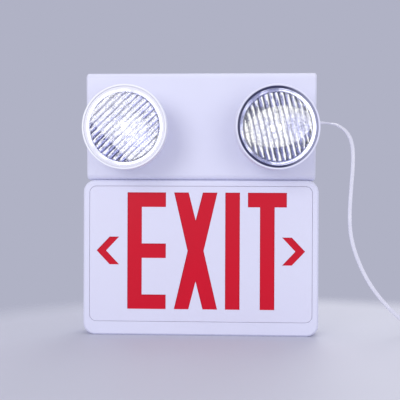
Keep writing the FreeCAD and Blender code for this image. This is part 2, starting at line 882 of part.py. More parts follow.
# ---------------------------------------------------------------- battery and charger
def make_battery():
    """Cells side by side in one shrink-wrapped pack, strapped to the wall plate."""
    half = S.cell_radius * S.cell_count
    back = PLATE_FRONT
    front = back - 2 * S.cell_radius
    base = UPPER_BASE + S.wall
    pack = rounded_rectangle(-half, half, front, back, S.cell_radius - S.wrap_thick)
    plate("battery_pack", TOP, base, pack, S.cell_length)
    inner = half + S.seat_gap
    outer = inner + S.strap_thick
    strap_back = back - S.strap_thick
    strap_inside = front - S.seat_gap
    strap = [
        (-outer - S.strap_foot, back),
        (-outer - S.strap_foot, strap_back),
        (-outer, strap_back),
        (-outer, strap_inside - S.strap_thick),
        (outer, strap_inside - S.strap_thick),
        (outer, strap_back),
        (outer + S.strap_foot, strap_back),
        (outer + S.strap_foot, back),
        (inner, back),
        (inner, strap_inside),
        (-inner, strap_inside),
        (-inner, back),
    ]
    plate("battery_strap", TOP, base + S.cell_length / 2 - S.strap_width / 2, strap, S.strap_width)


def make_charger():
    """The charger board on its four posts, with what is soldered to it."""
    across, tall = S.board_width / 2, S.board_height / 2
    level = S.board_level
    board = rectangle(-across, across, level - tall, level + tall)
    plate("charger_board", FRONT, BOARD_FRONT, board, S.board_thick)
    make_transformer(-across + S.core_width / 2 + S.wall, level + tall - S.core_height / 2 - S.wall)
    make_heat_sink(across - S.sink_width / 2 - S.wall, level + tall - S.sink_height / 2 - S.wall)
    sizes = vars(S)
    for name in BOARD_PARTS:
        middle = sizes[f"{name}_across"], level - tall + sizes[f"{name}_up"]
        outline = centred(*middle, sizes[f"{name}_width"], sizes[f"{name}_height"])
        plate(name, FRONT, BOARD_BACK, outline, sizes[f"{name}_depth"])


def make_transformer(across, level):
    """An iron core with two windows, and the winding sleeved over its middle limb."""
    winding_front = BOARD_BACK
    core_front = winding_front + (S.winding_depth - S.core_depth) / 2
    core = plate(
        "transformer_core",
        FRONT,
        core_front,
        centred(across, level, S.core_width, S.core_height, 0),
        S.core_depth,
    )
    limb = S.core_limb / 2
    window_tall = S.core_height / 2 - S.core_yoke
    windows = sketch_on(core, FRONT, core_front)
    for side in PAIR:
        inner = across + side * limb
        outer = across + side * (S.core_width / 2 - S.core_yoke)
        draw_outline(windows, rectangle(inner, outer, level - window_tall, level + window_tall))
    pocket(core, windows, S.core_depth)

    sleeve = S.core_width / 2 - S.core_yoke - S.seat_gap
    base = level - window_tall + S.seat_gap
    middle = winding_front + S.winding_depth / 2
    height = 2 * (window_tall - S.seat_gap)
    outline = rectangle(across - sleeve, across + sleeve, winding_front, winding_front + S.winding_depth)
    winding = plate("transformer_winding", TOP, base, outline, height)
    bore = sketch_on(winding, TOP, base)
    draw_outline(bore, centred(across, middle, S.core_limb, S.core_depth, S.bore_gap))
    pocket(winding, bore, height)


def make_heat_sink(across, level):
    """A finned aluminium sink standing on the board, with the charging transistor on its flank."""
    left = across - S.sink_width / 2
    right = across + S.sink_width / 2
    top = BOARD_BACK + S.sink_depth
    root = BOARD_BACK + S.sink_base
    slot = (S.sink_width - 4 * S.sink_fin) / 3
    comb = [(left, BOARD_BACK), (right, BOARD_BACK)]
    for index in range(3, 0, -1):
        fin_left = left + index * (S.sink_fin + slot)
        comb += [(fin_left + S.sink_fin, top), (fin_left, top), (fin_left, root), (fin_left - slot, root)]
    comb += [(left + S.sink_fin, top), (left, top)]
    base = level - S.sink_height / 2
    plate("heat_sink", TOP, base, comb, S.sink_height)


# ---------------------------------------------------------------- lamp heads
def make_swivel_base(name):
    """A foot that turns on the housing's front, its hollow spigot, and two ears for the lamp's tongue.

    Drawn with the tilt pivot at the origin and the housing at +Y.
    """
    body = new_body(name)
    seat = S.pivot_reach - S.turn_gap
    foot_front = seat - S.foot_thick
    across, tall = S.foot_width / 2, S.foot_height / 2
    foot = sketch_on(body, FRONT, foot_front)
    draw_outline(foot, clipped_rectangle(-across, across, -tall, tall, S.foot_clip))
    pad(body, foot, S.foot_thick)

    inner = S.tongue_thick / 2 + S.cheek_gap
    for left in (inner, -inner - S.ear_thick):
        ear = sketch_on(body, SIDE, left)
        draw_outline(ear, knuckle_outline(foot_front, S.knuckle_radius, 1))
        pad(body, ear, S.ear_thick)
    pin = sketch_on(body, SIDE)
    draw_circle(pin, 0, 0, S.pivot_radius + S.bore_gap)
    pocket(body, pin, S.foot_width, middle=True)

    clip_front = S.pivot_reach + S.wall + S.turn_gap
    spigot_back = clip_front + S.clip_thick + S.spigot_end
    spigot = sketch_on(body, FRONT, seat)
    draw_circle(spigot, 0, 0, S.spigot_radius)
    pad(body, spigot, spigot_back - seat)
    slots = sketch_on(body, FRONT, clip_front - S.seat_gap / 2)
    for side in PAIR:
        near, far = side * S.neck_width / 2, side * (S.spigot_radius + 1)
        draw_outline(slots, rectangle(near, far, -S.spigot_radius - 1, S.spigot_radius + 1))
    pocket(body, slots, S.clip_thick + S.seat_gap)
    wires = sketch_on(body, FRONT, foot_front)
    draw_outline(wires, square(0, 0, S.spigot_bore))
    pocket(body, wires, spigot_back - foot_front)
    return body


def knuckle_outline(root, radius, way):
    """A lug from the depth root to an eight-sided end about the pivot; way is the root's side."""
    blunt = radius * (math.sqrt(2) - 1)
    return [
        (root, -radius),
        (root, radius),
        (-way * blunt, radius),
        (-way * radius, blunt),
        (-way * radius, -blunt),
        (-way * blunt, -radius),
    ]


def make_swivel_clip(name):
    """A sprung steel fork that slides into the spigot's slots behind the housing's front wall."""
    half = S.clip_side / 2
    slot = S.neck_width / 2 + S.seat_gap / 2
    crown = S.spigot_radius + S.seat_gap
    fork = [
        (slot, -half),
        (half, -half),
        (half, half),
        (-half, half),
        (-half, -half),
        (-slot, -half),
        (-slot, crown),
        (slot, crown),
    ]
    return plate(name, FRONT, S.pivot_reach + S.wall + S.turn_gap, fork, S.clip_thick)


def make_pivot_screw(name):
    """The screw through both ears and the tongue."""
    outer = S.tongue_thick / 2 + S.cheek_gap + S.ear_thick
    body = new_body(name)
    shank = sketch_on(body, SIDE, -outer)
    draw_circle(shank, 0, 0, S.pivot_radius)
    pad(body, shank, 2 * outer)
    head = sketch_on(body, SIDE, outer)
    draw_outline(head, hexagon(0, 0, S.pivot_head_flats))
    pad(body, head, S.pivot_head_height)
    return body


def make_lamp_body(name):
    """The drum of a lamp head, beam towards -Y, on a hub that sinks the LED's heat into the tongue."""
    body = new_body(name)
    hub = sketch_on(body, FRONT, -S.drum_back)
    draw_circle(hub, 0, 0, S.hub_radius)
    pad(body, hub, S.drum_back - S.hub_back)
    drum = sketch_on(body, FRONT, -S.rim_reach)
    draw_circle(drum, 0, 0, S.rim_radius)
    pad(body, drum, S.rim_reach - S.drum_back)
    opening = sketch_on(body, FRONT, -S.rim_reach)
    draw_circle(opening, 0, 0, S.rim_radius - S.rim_lip)
    pocket(body, opening, S.rim_reach - S.drum_back - S.drum_wall)
    recess = sketch_on(body, FRONT, -S.drum_back - S.drum_wall)
    draw_outline(recess, square(0, 0, S.lamp_board_side + 2 * S.seat_gap))
    pocket(body, recess, S.lamp_board_thick)
    tongue = sketch_on(body, SIDE)
    draw_outline(tongue, knuckle_outline(-S.hub_back - S.drum_wall, S.knuckle_radius, -1))
    pad(body, tongue, S.tongue_thick, middle=True)
    pin = sketch_on(body, SIDE)
    draw_circle(pin, 0, 0, S.pivot_radius + S.bore_gap)
    pocket(body, pin, S.foot_width, middle=True)
    return body


def make_reflector(name):
    """The metallised reflector: a disc with a curved trough across it, open over the LED."""
    floor = -S.drum_back - S.drum_wall
    body = new_body(name)
    disc = sketch_on(body, FRONT, -S.lens_seat)
    draw_circle(disc, 0, 0, S.rim_radius - S.rim_lip - S.lens_gap)
    pad(body, disc, S.lens_seat + floor)
    throat, mouth, wall = S.trough_throat, S.trough_mouth, S.reflector_wall
    trough = sketch_on(body, SIDE)
    profile = [
        (floor, -throat),
        (floor, throat, S.trough_round),
        (-S.lens_seat, mouth),
        (-S.lens_seat, -mouth, S.trough_round),
    ]
    draw_outline(trough, profile)
    pocket(body, trough, 2 * S.trough_reach, middle=True)
    relief = sketch_on(body, SIDE)
    for side in PAIR:
        behind = [
            (floor, side * (throat + wall)),
            (floor, side * S.rim_radius),
            (wall - S.lens_seat, side * S.rim_radius),
            (wall - S.lens_seat, side * (mouth + wall), -side * S.trough_round),
        ]
        draw_outline(relief, behind)
    pocket(body, relief, 2 * S.rim_radius, middle=True)
    return body


def make_lens(name):
    """The clear lens: a flanged disc whose raised, crowned front is moulded into parallel flutes."""
    body = new_body(name)
    flange = sketch_on(body, FRONT, -S.lens_seat - S.lens_flange)
    draw_circle(flange, 0, 0, S.rim_radius - S.rim_lip - S.lens_gap)
    pad(body, flange, S.lens_flange)
    window = sketch_on(body, FRONT, -S.lens_seat - S.lens_flange)
    draw_circle(window, 0, 0, S.window_radius)
    pad(body, window, S.lens_crest - S.lens_seat - S.lens_flange, back=False)
    count = int(S.flute_count.value)
    edge = S.flute_pitch * count / 2
    beyond = -S.lens_crest - S.wall
    spread = edge + S.flute_pitch
    low = -S.flute_valley + S.flute_sag
    above = [(beyond, spread), (beyond, -spread), (low, -spread)]
    for index in range(count + 1):
        share = 2 * index / count - 1
        valley = (-S.flute_valley + S.flute_sag * share * share, edge * share)
        above.append(valley + (-S.flute_round,) if index < count else valley)
    above.append((low, spread))
    flutes = sketch_on(body, SIDE)
    draw_outline(flutes, above)
    pocket(body, flutes, 2 * S.rim_radius, middle=True)
    hollow = sketch_on(body, FRONT, -S.lens_seat)
    draw_outline(hollow, polygon_round(0, 0, S.window_radius - S.window_wall, HIDDEN_SIDES))
    pocket(body, hollow, S.window_hollow, back=False)
    return body


def make_head(side, place, base_turn, tilt, lens_turn):
    """Every piece of one lamp head, built about its pivot and then turned and tilted into place."""
    board_front = -S.drum_back - S.drum_wall
    board = square(0, 0, S.lamp_board_side)
    emitter = square(0, 0, S.emitter_side)
    base_pieces = [
        make_swivel_base(f"{side}_swivel_base"),
        make_swivel_clip(f"{side}_swivel_clip"),
        make_pivot_screw(f"{side}_pivot_screw"),
    ]
    lamp_pieces = [
        make_lamp_body(f"{side}_lamp_body"),
        plate(f"{side}_led_board", FRONT, board_front, board, S.lamp_board_thick),
        plate(f"{side}_led_emitter", FRONT, board_front - S.emitter_height, emitter, S.emitter_height),
        make_reflector(f"{side}_reflector"),
    ]
    lens = make_lens(f"{side}_lens")
    turned = Placement(place, Rotation(Vector(0, 1, 0), value_of(base_turn)))
    tilted = turned * Placement(Vector(), Rotation(Vector(1, 0, 0), value_of(tilt)))
    for piece in base_pieces:
        piece.Placement = turned
    for piece in lamp_pieces:
        piece.Placement = tilted
    lens.Placement = tilted * Placement(Vector(), Rotation(Vector(0, 1, 0), value_of(lens_turn)))


def make_heads():
    depth = value_of(UPPER_FRONT - S.pivot_reach)
    across = value_of(S.head_spacing) / 2
    level = value_of(S.head_level)
    make_head("left", Vector(-across, depth, level), S.left_turn, S.left_tilt, S.left_lens_turn)
    make_head("right", Vector(across, depth, level), S.right_turn, S.right_tilt, S.right_lens_turn)


# ---------------------------------------------------------------- mains cord and plug
def make_cord_bushing():
    """The strain relief in the right wall: a sleeve held by a collar behind the wall."""
    outside = upper_side(S.cord_level)
    middle = S.cord_depth, S.cord_level
    sleeve = centred(*middle, S.bushing_width, S.bushing_height)
    body = plate("cord_bushing", SIDE, outside - S.bushing_inside, sleeve, S.bushing_inside + S.bushing_proud)
    end = value_of(outside + S.bushing_proud)
    round_edges(body, S.bushing_lip, lambda box: box.XMin > end - TOUCH, "PartDesign::Chamfer")
    collar = sketch_on(body, SIDE, outside - S.wall - S.seat_gap)
    draw_outline(collar, centred(*middle, S.bushing_width, S.bushing_height, S.bushing_lip))
    pad(body, collar, S.bushing_lip, back=False)


def cord_path():
    """The route's straight runs joined by tangent arcs, each as large as its two runs allow."""
    corners = [Vector(*corner) for corner in CORD_ROUTE]
    edges = []
    reached = corners[0]
    for before, corner, after in zip(corners, corners[1:], corners[2:]):
        arriving = (corner - before).normalize()
        leaving = (after - corner).normalize()
        half_turn = arriving.getAngle(leaving) / 2
        cut = ARC_SHARE * min(corner.distanceToPoint(before), corner.distanceToPoint(after))
        radius = cut / math.tan(half_turn)
        print(f"cord bend: radius {radius:.1f} mm")
        start = corner - arriving * cut
        end = corner + leaving * cut
        inward = (leaving - arriving).normalize()
        middle = corner + inward * (radius / math.cos(half_turn) - radius)
        edges.append(Part.LineSegment(reached, start).toShape())
        edges.append(Part.Arc(start, middle, end).toShape())
        reached = end
    edges.append(Part.LineSegment(reached, corners[-1]).toShape())
    return Part.Wire(edges)


def make_power_cord():
    """The flat twin cord, its width level, from the bushing down to the coil."""
    path = cord_path()
    across = Vector(0, S.cord_width.value / 2, 0)
    up = Vector(0, 0, S.cord_thick.value / 2)
    start = Vector(*CORD_ROUTE[0])
    corners = [start - across - up, start + across - up, start + across + up, start - across + up]
    sweep = Part.BRepOffsetAPI.MakePipeShell(path)
    sweep.setBiNormalMode(Vector(0, 1, 0))
    sweep.add(Part.makePolygon(corners + corners[:1]))
    sweep.build()
    sweep.makeSolid()
    cord = doc.addObject("Part::Feature", "power_cord")
    cord.Label = "power_cord"
    cord.Shape = sweep.shape()
    nodes.append(cord)
    expected = S.cord_width.value * S.cord_thick.value * path.Length
    print(f"cord: {path.Length:.0f} mm of tube, {cord.Shape.Volume:.0f} mm3 of {expected:.0f} expected")


def make_cord_coil():
    """The spare cord, wound flat in columns and layers, with its two ends leaving it straight."""
    end_x, end_y, end_z = CORD_ROUTE[-1]
    base = end_z - S.cord_thick / 2
    spread = (S.coil_columns - 1) / 2 * S.cord_width
    outer_turn = S.coil_radius + spread
    inner_turn = S.coil_radius - spread
    centre_x = end_x + S.coil_stub
    centre_y = end_y - outer_turn
    half = S.cord_width / 2
    body = new_body("power_cord_coil")
    ring = sketch_on(body, TOP, base)
    draw_outline(ring, polygon_round(centre_x, centre_y, outer_turn + half, HIDDEN_SIDES))
    draw_outline(ring, polygon_round(centre_x, centre_y, inner_turn - half, HIDDEN_SIDES))
    pad(body, ring, S.cord_thick * S.coil_layers)
    entry = sketch_on(body, TOP, base)
    draw_outline(entry, rectangle(end_x, centre_x, end_y - half, end_y + half))
    pad(body, entry, S.cord_thick)
    top = base + S.cord_thick * S.coil_layers
    way_out = sketch_on(body, TOP, top)
    right = centre_x + outer_turn
    foot = centre_y - S.coil_tail
    draw_outline(way_out, rectangle(right - half, right + half, foot, centre_y))
    pad(body, way_out, S.cord_thick, back=False)
    make_cord_tie(centre_x - S.coil_radius, centre_y, base, top)
    make_plug(right, foot)


def make_cord_tie(across, along, base, top):
    """A band round the coil's bundle of turns."""
    half = S.coil_columns * S.cord_width / 2
    body = new_body("cord_tie")
    band = sketch_on(body, FRONT, along - S.tie_width / 2)
    for margin in (S.seat_gap, S.seat_gap + S.tie_thick):
        draw_outline(band, rectangle(across - half - margin, across + half + margin, base - margin, top + margin))
    pad(body, band, S.tie_width)


def make_plug(across, neck_end):
    """A moulded two-blade plug that lies beside the coil, its blades towards -Y."""
    base = S.floor_gap
    middle = base + S.plug_height / 2
    shoulder = neck_end - S.plug_neck
    front = shoulder - S.plug_length
    wide = S.plug_width / 2
    narrow = S.plug_waist / 2
    outline = [
        (across - wide, front),
        (across + wide, front),
        (across + wide, shoulder - S.plug_length / 2),
        (across + narrow, shoulder),
        (across - narrow, shoulder),
        (across - wide, shoulder - S.plug_length / 2),
    ]
    body = plate("plug_body", TOP, base, outline, S.plug_height)
    nose = value_of(front)
    flanks = lambda box: box.YMin < nose + TOUCH < box.YMax and box.ZLength < TOUCH
    round_edges(body, S.plug_edge, flanks, "PartDesign::Chamfer")
    neck = sketch_on(body, FRONT, shoulder)
    draw_outline(neck, centred(across, middle, S.plug_neck_width, S.plug_neck_height))
    pad(body, neck, S.plug_neck)
    blades = new_body("plug_blades")
    sketch = sketch_on(blades, FRONT, front)
    for side in PAIR:
        place = across + side * S.blade_spacing / 2
        draw_outline(sketch, centred(place, middle, S.blade_thick, S.blade_width))
    pad(blades, sketch, S.blade_length, back=False)


# ---------------------------------------------------------------- the whole light
make_sign_box()
make_upper_housing()
make_upper_back_plate()
make_wire_grommet()
make_test_switch()
make_battery()
make_charger()
make_heads()
make_cord_bushing()
make_power_cord()
make_cord_coil()


# ---------------------------------------------------------------- check and write
def check_and_write():
    doc.recompute()
    for thing in doc.Objects:
        if "Invalid" in thing.State or "Error" in thing.State:
            raise RuntimeError(f"{thing.Label} failed: {thing.State}")
    for node in nodes:
        if node.Shape.isNull() or not node.Shape.isValid() or not node.Shape.Solids:
            raise RuntimeError(f"{node.Label} has no valid solid")
    os.makedirs("parts", exist_ok=True)
    for node in nodes:
        node.Shape.exportStep(f"parts/{node.Label}.step")
        print(f"{node.Label}: {len(node.Shape.Solids)} solids, {node.Shape.Volume:.0f} mm3")


check_and_write()
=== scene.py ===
"""Emergency exit light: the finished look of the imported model, its cord, lights and camera."""
import math

import bmesh
import bpy
from mathutils import Matrix, Vector


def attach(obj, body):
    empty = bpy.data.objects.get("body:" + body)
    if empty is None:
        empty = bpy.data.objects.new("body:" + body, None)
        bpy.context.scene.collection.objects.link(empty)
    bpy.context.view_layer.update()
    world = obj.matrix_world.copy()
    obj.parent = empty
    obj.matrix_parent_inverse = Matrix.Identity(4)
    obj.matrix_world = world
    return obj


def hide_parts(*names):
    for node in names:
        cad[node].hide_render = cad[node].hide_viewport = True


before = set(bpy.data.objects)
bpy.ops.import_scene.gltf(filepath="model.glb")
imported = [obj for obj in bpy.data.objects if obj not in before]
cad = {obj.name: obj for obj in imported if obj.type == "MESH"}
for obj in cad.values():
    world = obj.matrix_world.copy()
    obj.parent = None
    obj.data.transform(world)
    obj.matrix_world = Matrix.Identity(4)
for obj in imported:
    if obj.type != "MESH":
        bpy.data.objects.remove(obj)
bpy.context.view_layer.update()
scene = bpy.context.scene
MM = 0.001
# Rotations that lay a primitive's own axis along X or Y.
AXIS_TO_X = (0, math.pi / 2, 0)
AXIS_TO_Y = (math.pi / 2, 0, 0)


# ---------------------------------------------------------------- selecting and shaping
def object_mode():
    """Leaves edit mode and deselects everything."""
    if bpy.context.mode != "OBJECT":
        bpy.ops.object.mode_set(mode="OBJECT")
    bpy.ops.object.select_all(action="DESELECT")


def work_on(piece):
    """Makes a piece the only one selected, and the active one."""
    object_mode()
    piece.select_set(True)
    bpy.context.view_layer.objects.active = piece


def edit(piece, kind="FACE"):
    """Opens a piece in edit mode with nothing selected."""
    work_on(piece)
    bpy.ops.object.mode_set(mode="EDIT")
    bpy.ops.mesh.select_mode(type=kind)
    bpy.ops.mesh.select_all(action="DESELECT")


def pick(kind, wanted):
    """Selects the vertices, edges or faces of the open piece whose middle and normal are wanted."""
    mesh = bpy.context.edit_object.data
    shape = bmesh.from_edit_mesh(mesh)
    bpy.ops.mesh.select_all(action="DESELECT")
    if kind == "VERT":
        for vertex in shape.verts:
            vertex.select_set(bool(wanted(vertex.co, vertex.normal)))
    elif kind == "EDGE":
        for edge in shape.edges:
            one, other = (end.co for end in edge.verts)
            edge.select_set(bool(wanted((one + other) / 2, (other - one).normalized())))
    else:
        for face in shape.faces:
            face.select_set(bool(wanted(face.calc_center_median(), face.normal)))
    shape.select_flush_mode()
    bmesh.update_edit_mesh(mesh)


def everything():
    """Selects all of the open piece."""
    bpy.ops.mesh.select_all(action="SELECT")


def merge(within=0.01):
    """Merges the open piece's doubles and turns its faces outwards; within is in millimetres."""
    everything()
    bpy.ops.mesh.remove_doubles(threshold=within * MM)
    bpy.ops.mesh.normals_make_consistent(inside=False)


def added(name):
    """Names the primitive just added and bakes its place, turn and scale into its mesh."""
    piece = bpy.context.active_object
    piece.name = piece.data.name = name
    bpy.ops.object.transform_apply(location=True, rotation=True, scale=True)
    return piece


def slice_at(place, normal, keep_front=False):
    """Cuts the open piece by a plane; keep_front drops the side behind the plane."""
    everything()
    bpy.ops.mesh.bisect(plane_co=place, plane_no=normal, clear_inner=keep_front)


def push(value):
    """Moves what is selected."""
    bpy.ops.transform.translate(value=value)


def scale_about(value, centre):
    """Scales what is selected about a point."""
    bpy.ops.transform.resize(value=value, center_override=centre)


def extrude(move, scale=(1, 1, 1), centre=(0, 0, 0)):
    """Extrudes what is selected, then moves and scales it."""
    bpy.ops.mesh.extrude_region_move(TRANSFORM_OT_translate={"value": move})
    if tuple(scale) != (1, 1, 1):
        scale_about(scale, centre)


def apply_modifier(piece, kind, **settings):
    """Adds one modifier to a piece and applies it."""
    work_on(piece)
    modifier = piece.modifiers.new(kind.title(), kind)
    for setting, value in settings.items():
        setattr(modifier, setting, value)
    bpy.ops.object.modifier_apply(modifier=modifier.name)


def cut(piece, tool, operation="DIFFERENCE"):
    """Cuts a piece by a tool, or joins or trims it, and removes the tool."""
    apply_modifier(piece, "BOOLEAN", object=tool, operation=operation, solver="EXACT")
    bpy.data.objects.remove(tool)


def smooth(piece, degrees):
    """Smooth shading, with edges sharper than the angle kept crisp."""
    work_on(piece)
    bpy.ops.object.shade_smooth_by_angle(angle=math.radians(degrees))


def rounded(piece, width, segments, degrees):
    """Rounds every edge sharper than the angle; width is in millimetres."""
    apply_modifier(
        piece,
        "BEVEL",
        width=width * MM,
        segments=segments,
        limit_method="ANGLE",
        angle_limit=math.radians(degrees),
        use_clamp_overlap=True,
        miter_outer="MITER_ARC",
    )


def settle(piece, matrix):
    """Moves a piece modelled about its own pivot to its place, and leaves it at the origin."""
    piece.matrix_world = matrix
    work_on(piece)
    bpy.ops.object.transform_apply(location=True, rotation=True, scale=True)


def finish_with(piece, finish):
    """Gives a piece its only material."""
    piece.data.materials.clear()
    piece.data.materials.append(finish)


def dress(piece, finish, body="root"):
    """Gives a piece its material and the body that it rides on."""
    finish_with(piece, finish)
    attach(piece, body)
    return piece


# Edges of a moulding sharper than this, in degrees, are rounded.
MOULDING_EDGE = 25


def softened(node, width, segments=2, crease=35):
    """A finished copy of a CAD node: its triangles merged, its edges rounded by a width in mm.
    Edges sharper than crease, in degrees, stay crisp, and flat faces stay flat."""
    piece = bpy.data.objects.new(f"{node}_moulding", cad[node].data.copy())
    piece.data.name = piece.name
    scene.collection.objects.link(piece)
    edit(piece)
    bpy.ops.mesh.customdata_custom_splitnormals_clear()
    merge()
    object_mode()
    if width:
        rounded(piece, width, segments, MOULDING_EDGE)
    smooth(piece, crease)
    apply_modifier(piece, "WEIGHTED_NORMAL", mode="FACE_AREA", weight=100, keep_sharp=True)
    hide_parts(node)
    return piece


# ---------------------------------------------------------------- camera
# Where the eye is, and how far the view is turned left, dipped and rolled, in degrees.
EYE = (0.0515, -1.124, 0.1818)
LEFT, DIP, ROLL = 2.71, 0.26, 0.22
camera = bpy.data.objects.new("camera", bpy.data.cameras.new("camera"))
camera.data.lens = 76.1
camera.data.sensor_width = 36.0
camera.data.clip_start = 0.02
camera.matrix_world = (
    Matrix.Translation(EYE)
    @ Matrix.Rotation(math.radians(LEFT), 4, "Z")
    @ Matrix.Rotation(math.radians(90 - DIP), 4, "X")
    @ Matrix.Rotation(math.radians(ROLL), 4, "Z")
)
scene.collection.objects.link(camera)
scene.camera = camera


# ---------------------------------------------------------------- materials
def linear(colour):
    """The linear values of an sRGB colour written as rrggbb."""
    levels = [int(colour[i : i + 2], 16) / 255 for i in (0, 2, 4)]
    return [v / 12.92 if v <= 0.04045 else ((v + 0.055) / 1.055) ** 2.4 for v in levels] + [1.0]


def add_node(tree, kind, sockets=None, **settings):
    """Adds one node; a socket is given a value or the socket that feeds it."""
    node = tree.nodes.new("ShaderNode" + kind)
    for setting, value in settings.items():
        setattr(node, setting, value)
    for socket, value in (sockets or {}).items():
        if isinstance(value, bpy.types.NodeSocket):
            tree.links.new(value, node.inputs[socket])
        else:
            node.inputs[socket].default_value = value
    return node


def blank(name, colour, **sockets):
    """A material with its Principled shader's constants set; underscores stand for spaces."""
    material = bpy.data.materials.new(name)
    material.use_nodes = True
    tree = material.node_tree
    shader = tree.nodes["Principled BSDF"]
    shader.inputs["Base Color"].default_value = linear(colour)
    for socket, value in sockets.items():
        shader.inputs[socket.replace("_", " ")].default_value = value
    return material, tree, shader


def moulded(name, colour, mottled, roughness, grain=0.5, relief=0.012, patch=60, **sockets):
    """Moulded plastic: grain and patch are the sizes in mm of its texture and of its faint
    mottling, relief the texture's depth, mottled the colour of its patches."""
    material, tree, shader = blank(name, colour, **sockets)
    place = add_node(tree, "TexCoord").outputs["Object"]
    cloud = add_node(tree, "TexNoise", {"Vector": place, "Scale": 1000 / patch, "Detail": 3.0})
    tint = add_node(tree, "ValToRGB", {"Fac": cloud.outputs["Fac"]})
    for stop, position, shade in zip(tint.color_ramp.elements, (0.3, 0.7), (colour, mottled)):
        stop.position = position
        stop.color = linear(shade)
    tree.links.new(tint.outputs["Color"], shader.inputs["Base Color"])
    fine = add_node(tree, "TexNoise", {"Vector": place, "Scale": 1000 / grain, "Detail": 4.0})
    bump = add_node(
        tree, "Bump", {"Height": fine.outputs["Fac"], "Strength": 1.0, "Distance": relief * MM}
    )
    tree.links.new(bump.outputs["Normal"], shader.inputs["Normal"])
    sheen = add_node(
        tree,
        "MapRange",
        {
            "Value": cloud.outputs["Fac"],
            "From Min": 0.3,
            "From Max": 0.7,
            "To Min": roughness - 0.04,
            "To Max": roughness + 0.05,
        },
    )
    tree.links.new(sheen.outputs["Result"], shader.inputs["Roughness"])
    return material


# White ABS: a satin skin, fine spark texture, faintly uneven sheen.
abs_white = moulded("white_abs", "dddef4", "dbdcf2", 0.42, relief=0.008, IOR=1.5)
# Sign panel ABS: smoother than the housings.
abs_panel = moulded("panel_abs", "dcddf3", "dbdbf1", 0.38, grain=0.8, relief=0.004, IOR=1.5)
# Lamp ABS: the same plastic with painted light: a shade paler than the housings, paler still on the
# left lamp.
abs_lamp = {
    "left": moulded("lamp_abs_left", "eff0fc", "edeefb", 0.36, relief=0.006, IOR=1.5),
    "right": moulded("lamp_abs_right", "dfe0f6", "dddef4", 0.36, relief=0.006, IOR=1.5),
}
# Red acrylic: deep even colour with a glossy face.
acrylic_red = moulded(
    "red_acrylic",
    "cf0228",
    "cb0127",
    0.35,
    grain=1.2,
    relief=0.002,
    IOR=1.49,
    Specular_IOR_Level=0.22,
)
# White PVC of the cord and plug: soft low sheen.
pvc_white = moulded(
    "white_pvc", "e4e4f2", "dcdcec", 0.38, grain=0.35, relief=0.01, patch=12, IOR=1.53
)
# Black nylon of ties and switch parts.
nylon_black = moulded("black_nylon", "1b1b1e", "232327", 0.45, IOR=1.53)
# Left lamp's seal: soft dull silicone, painted white as painted light; the right lamp's seal is
# painted dark.
left_seal_painted_lit = moulded("left_seal_silicone_painted_lit", "e9e9f4", "e2e2ef", 0.4, IOR=1.41)
# Light grey test button: glossier than the wall it sits in.
button_grey = moulded("button_plastic_grey", "c2c3d6", "bebfd2", 0.25, relief=0.003, IOR=1.53)
# Green indicator lens.
indicator_green = moulded("indicator_lens", "2fbf5a", "2ab252", 0.15, relief=0.002, IOR=1.58)
# Solder mask of the boards: dark green, faintly mottled.
solder_mask = moulded(
    "solder_mask_green", "1d5c33", "1a5430", 0.3, grain=2.0, relief=0.02, patch=8, IOR=1.5
)
# Shrink wrap of the battery: glossy blue film with a slight ripple.
shrink_wrap = moulded(
    "shrink_wrap_blue", "27496e", "213f61", 0.25, grain=3.0, relief=0.05, patch=15, IOR=1.5
)
# Polyester tape of winding and capacitor: yellow film with a faint ripple.
tape_yellow = moulded(
    "polyester_tape", "c8a83c", "b99a33", 0.35, grain=2.5, relief=0.04, patch=10, IOR=1.5
)


def metal(name, colour, roughness, grain, relief):
    """Bare or plated metal with a fine grain, its sizes in mm."""
    return moulded(name, colour, colour, roughness, grain=grain, relief=relief, Metallic=1.0)


# Zinc plated steel: bluish grey, softly bright.
zinc_plate = metal("zinc_plated_steel", "b9bcc2", 0.3, 0.6, 0.01)
# Extruded aluminium: paler and satin.
aluminium = metal("extruded_aluminium", "c3c5ca", 0.32, 0.4, 0.01)
# Nickel flashed brass of the plug blades: a warm bright metal.
nickel_brass = metal("nickel_flashed_brass", "cfc8b4", 0.22, 0.5, 0.004)


# ---------------------------------------------------------------- mains cord
CORD_THICK = 2.6
CORD_EXIT = (0.1543, 0.004, 0.2795)
CORD_ROUTE = [
    CORD_EXIT,
    (0.1685, 0.0040, 0.2795),
    (0.1815, 0.0040, 0.2765),
    (0.1935, 0.0040, 0.2672),
    (0.2000, 0.0040, 0.2515),
    (0.2012, 0.0040, 0.2300),
    (0.1990, 0.0045, 0.1980),
    (0.1965, 0.0050, 0.1620),
    (0.1980, 0.0060, 0.1300),
    (0.2065, 0.0075, 0.1010),
    (0.2198, 0.0095, 0.0725),
    (0.2376, 0.0120, 0.0470),
    (0.2578, 0.0150, 0.0262),
    (0.2720, 0.0174, 0.0143),
    (0.2830, 0.0192, 0.0058),
    (0.2935, 0.0202, 0.0022),
    (0.3050, 0.0202, 0.0022),
]
# The coil: its middle in metres, then each turn's radius and level in millimetres.
COIL_MIDDLE = (0.325, -0.014)
COIL_TURN_RADII = [34.2, 29.0, 23.8, 23.8, 29.0, 34.2]
COIL_LAYERS = [2.2, 2.2, 2.2, 4.8, 4.8, 4.8]
# Points on each turn of the coil, and how many of them change over to the next turn.
TURN_POINTS = 24
STEP_POINTS = 5
TAIL_ROUTE = [(0.3592, -0.024, 0.0048), (0.3592, -0.034, 0.0048)]
# The flat cord turns its broad side forward as it leaves the wall, and lies flat again on the
# floor, each between two lengths along it from its exit, in millimetres.
TURNS_FORWARD = (8.0, 60.0)
TURNS_FLAT = (318.0, 366.0)


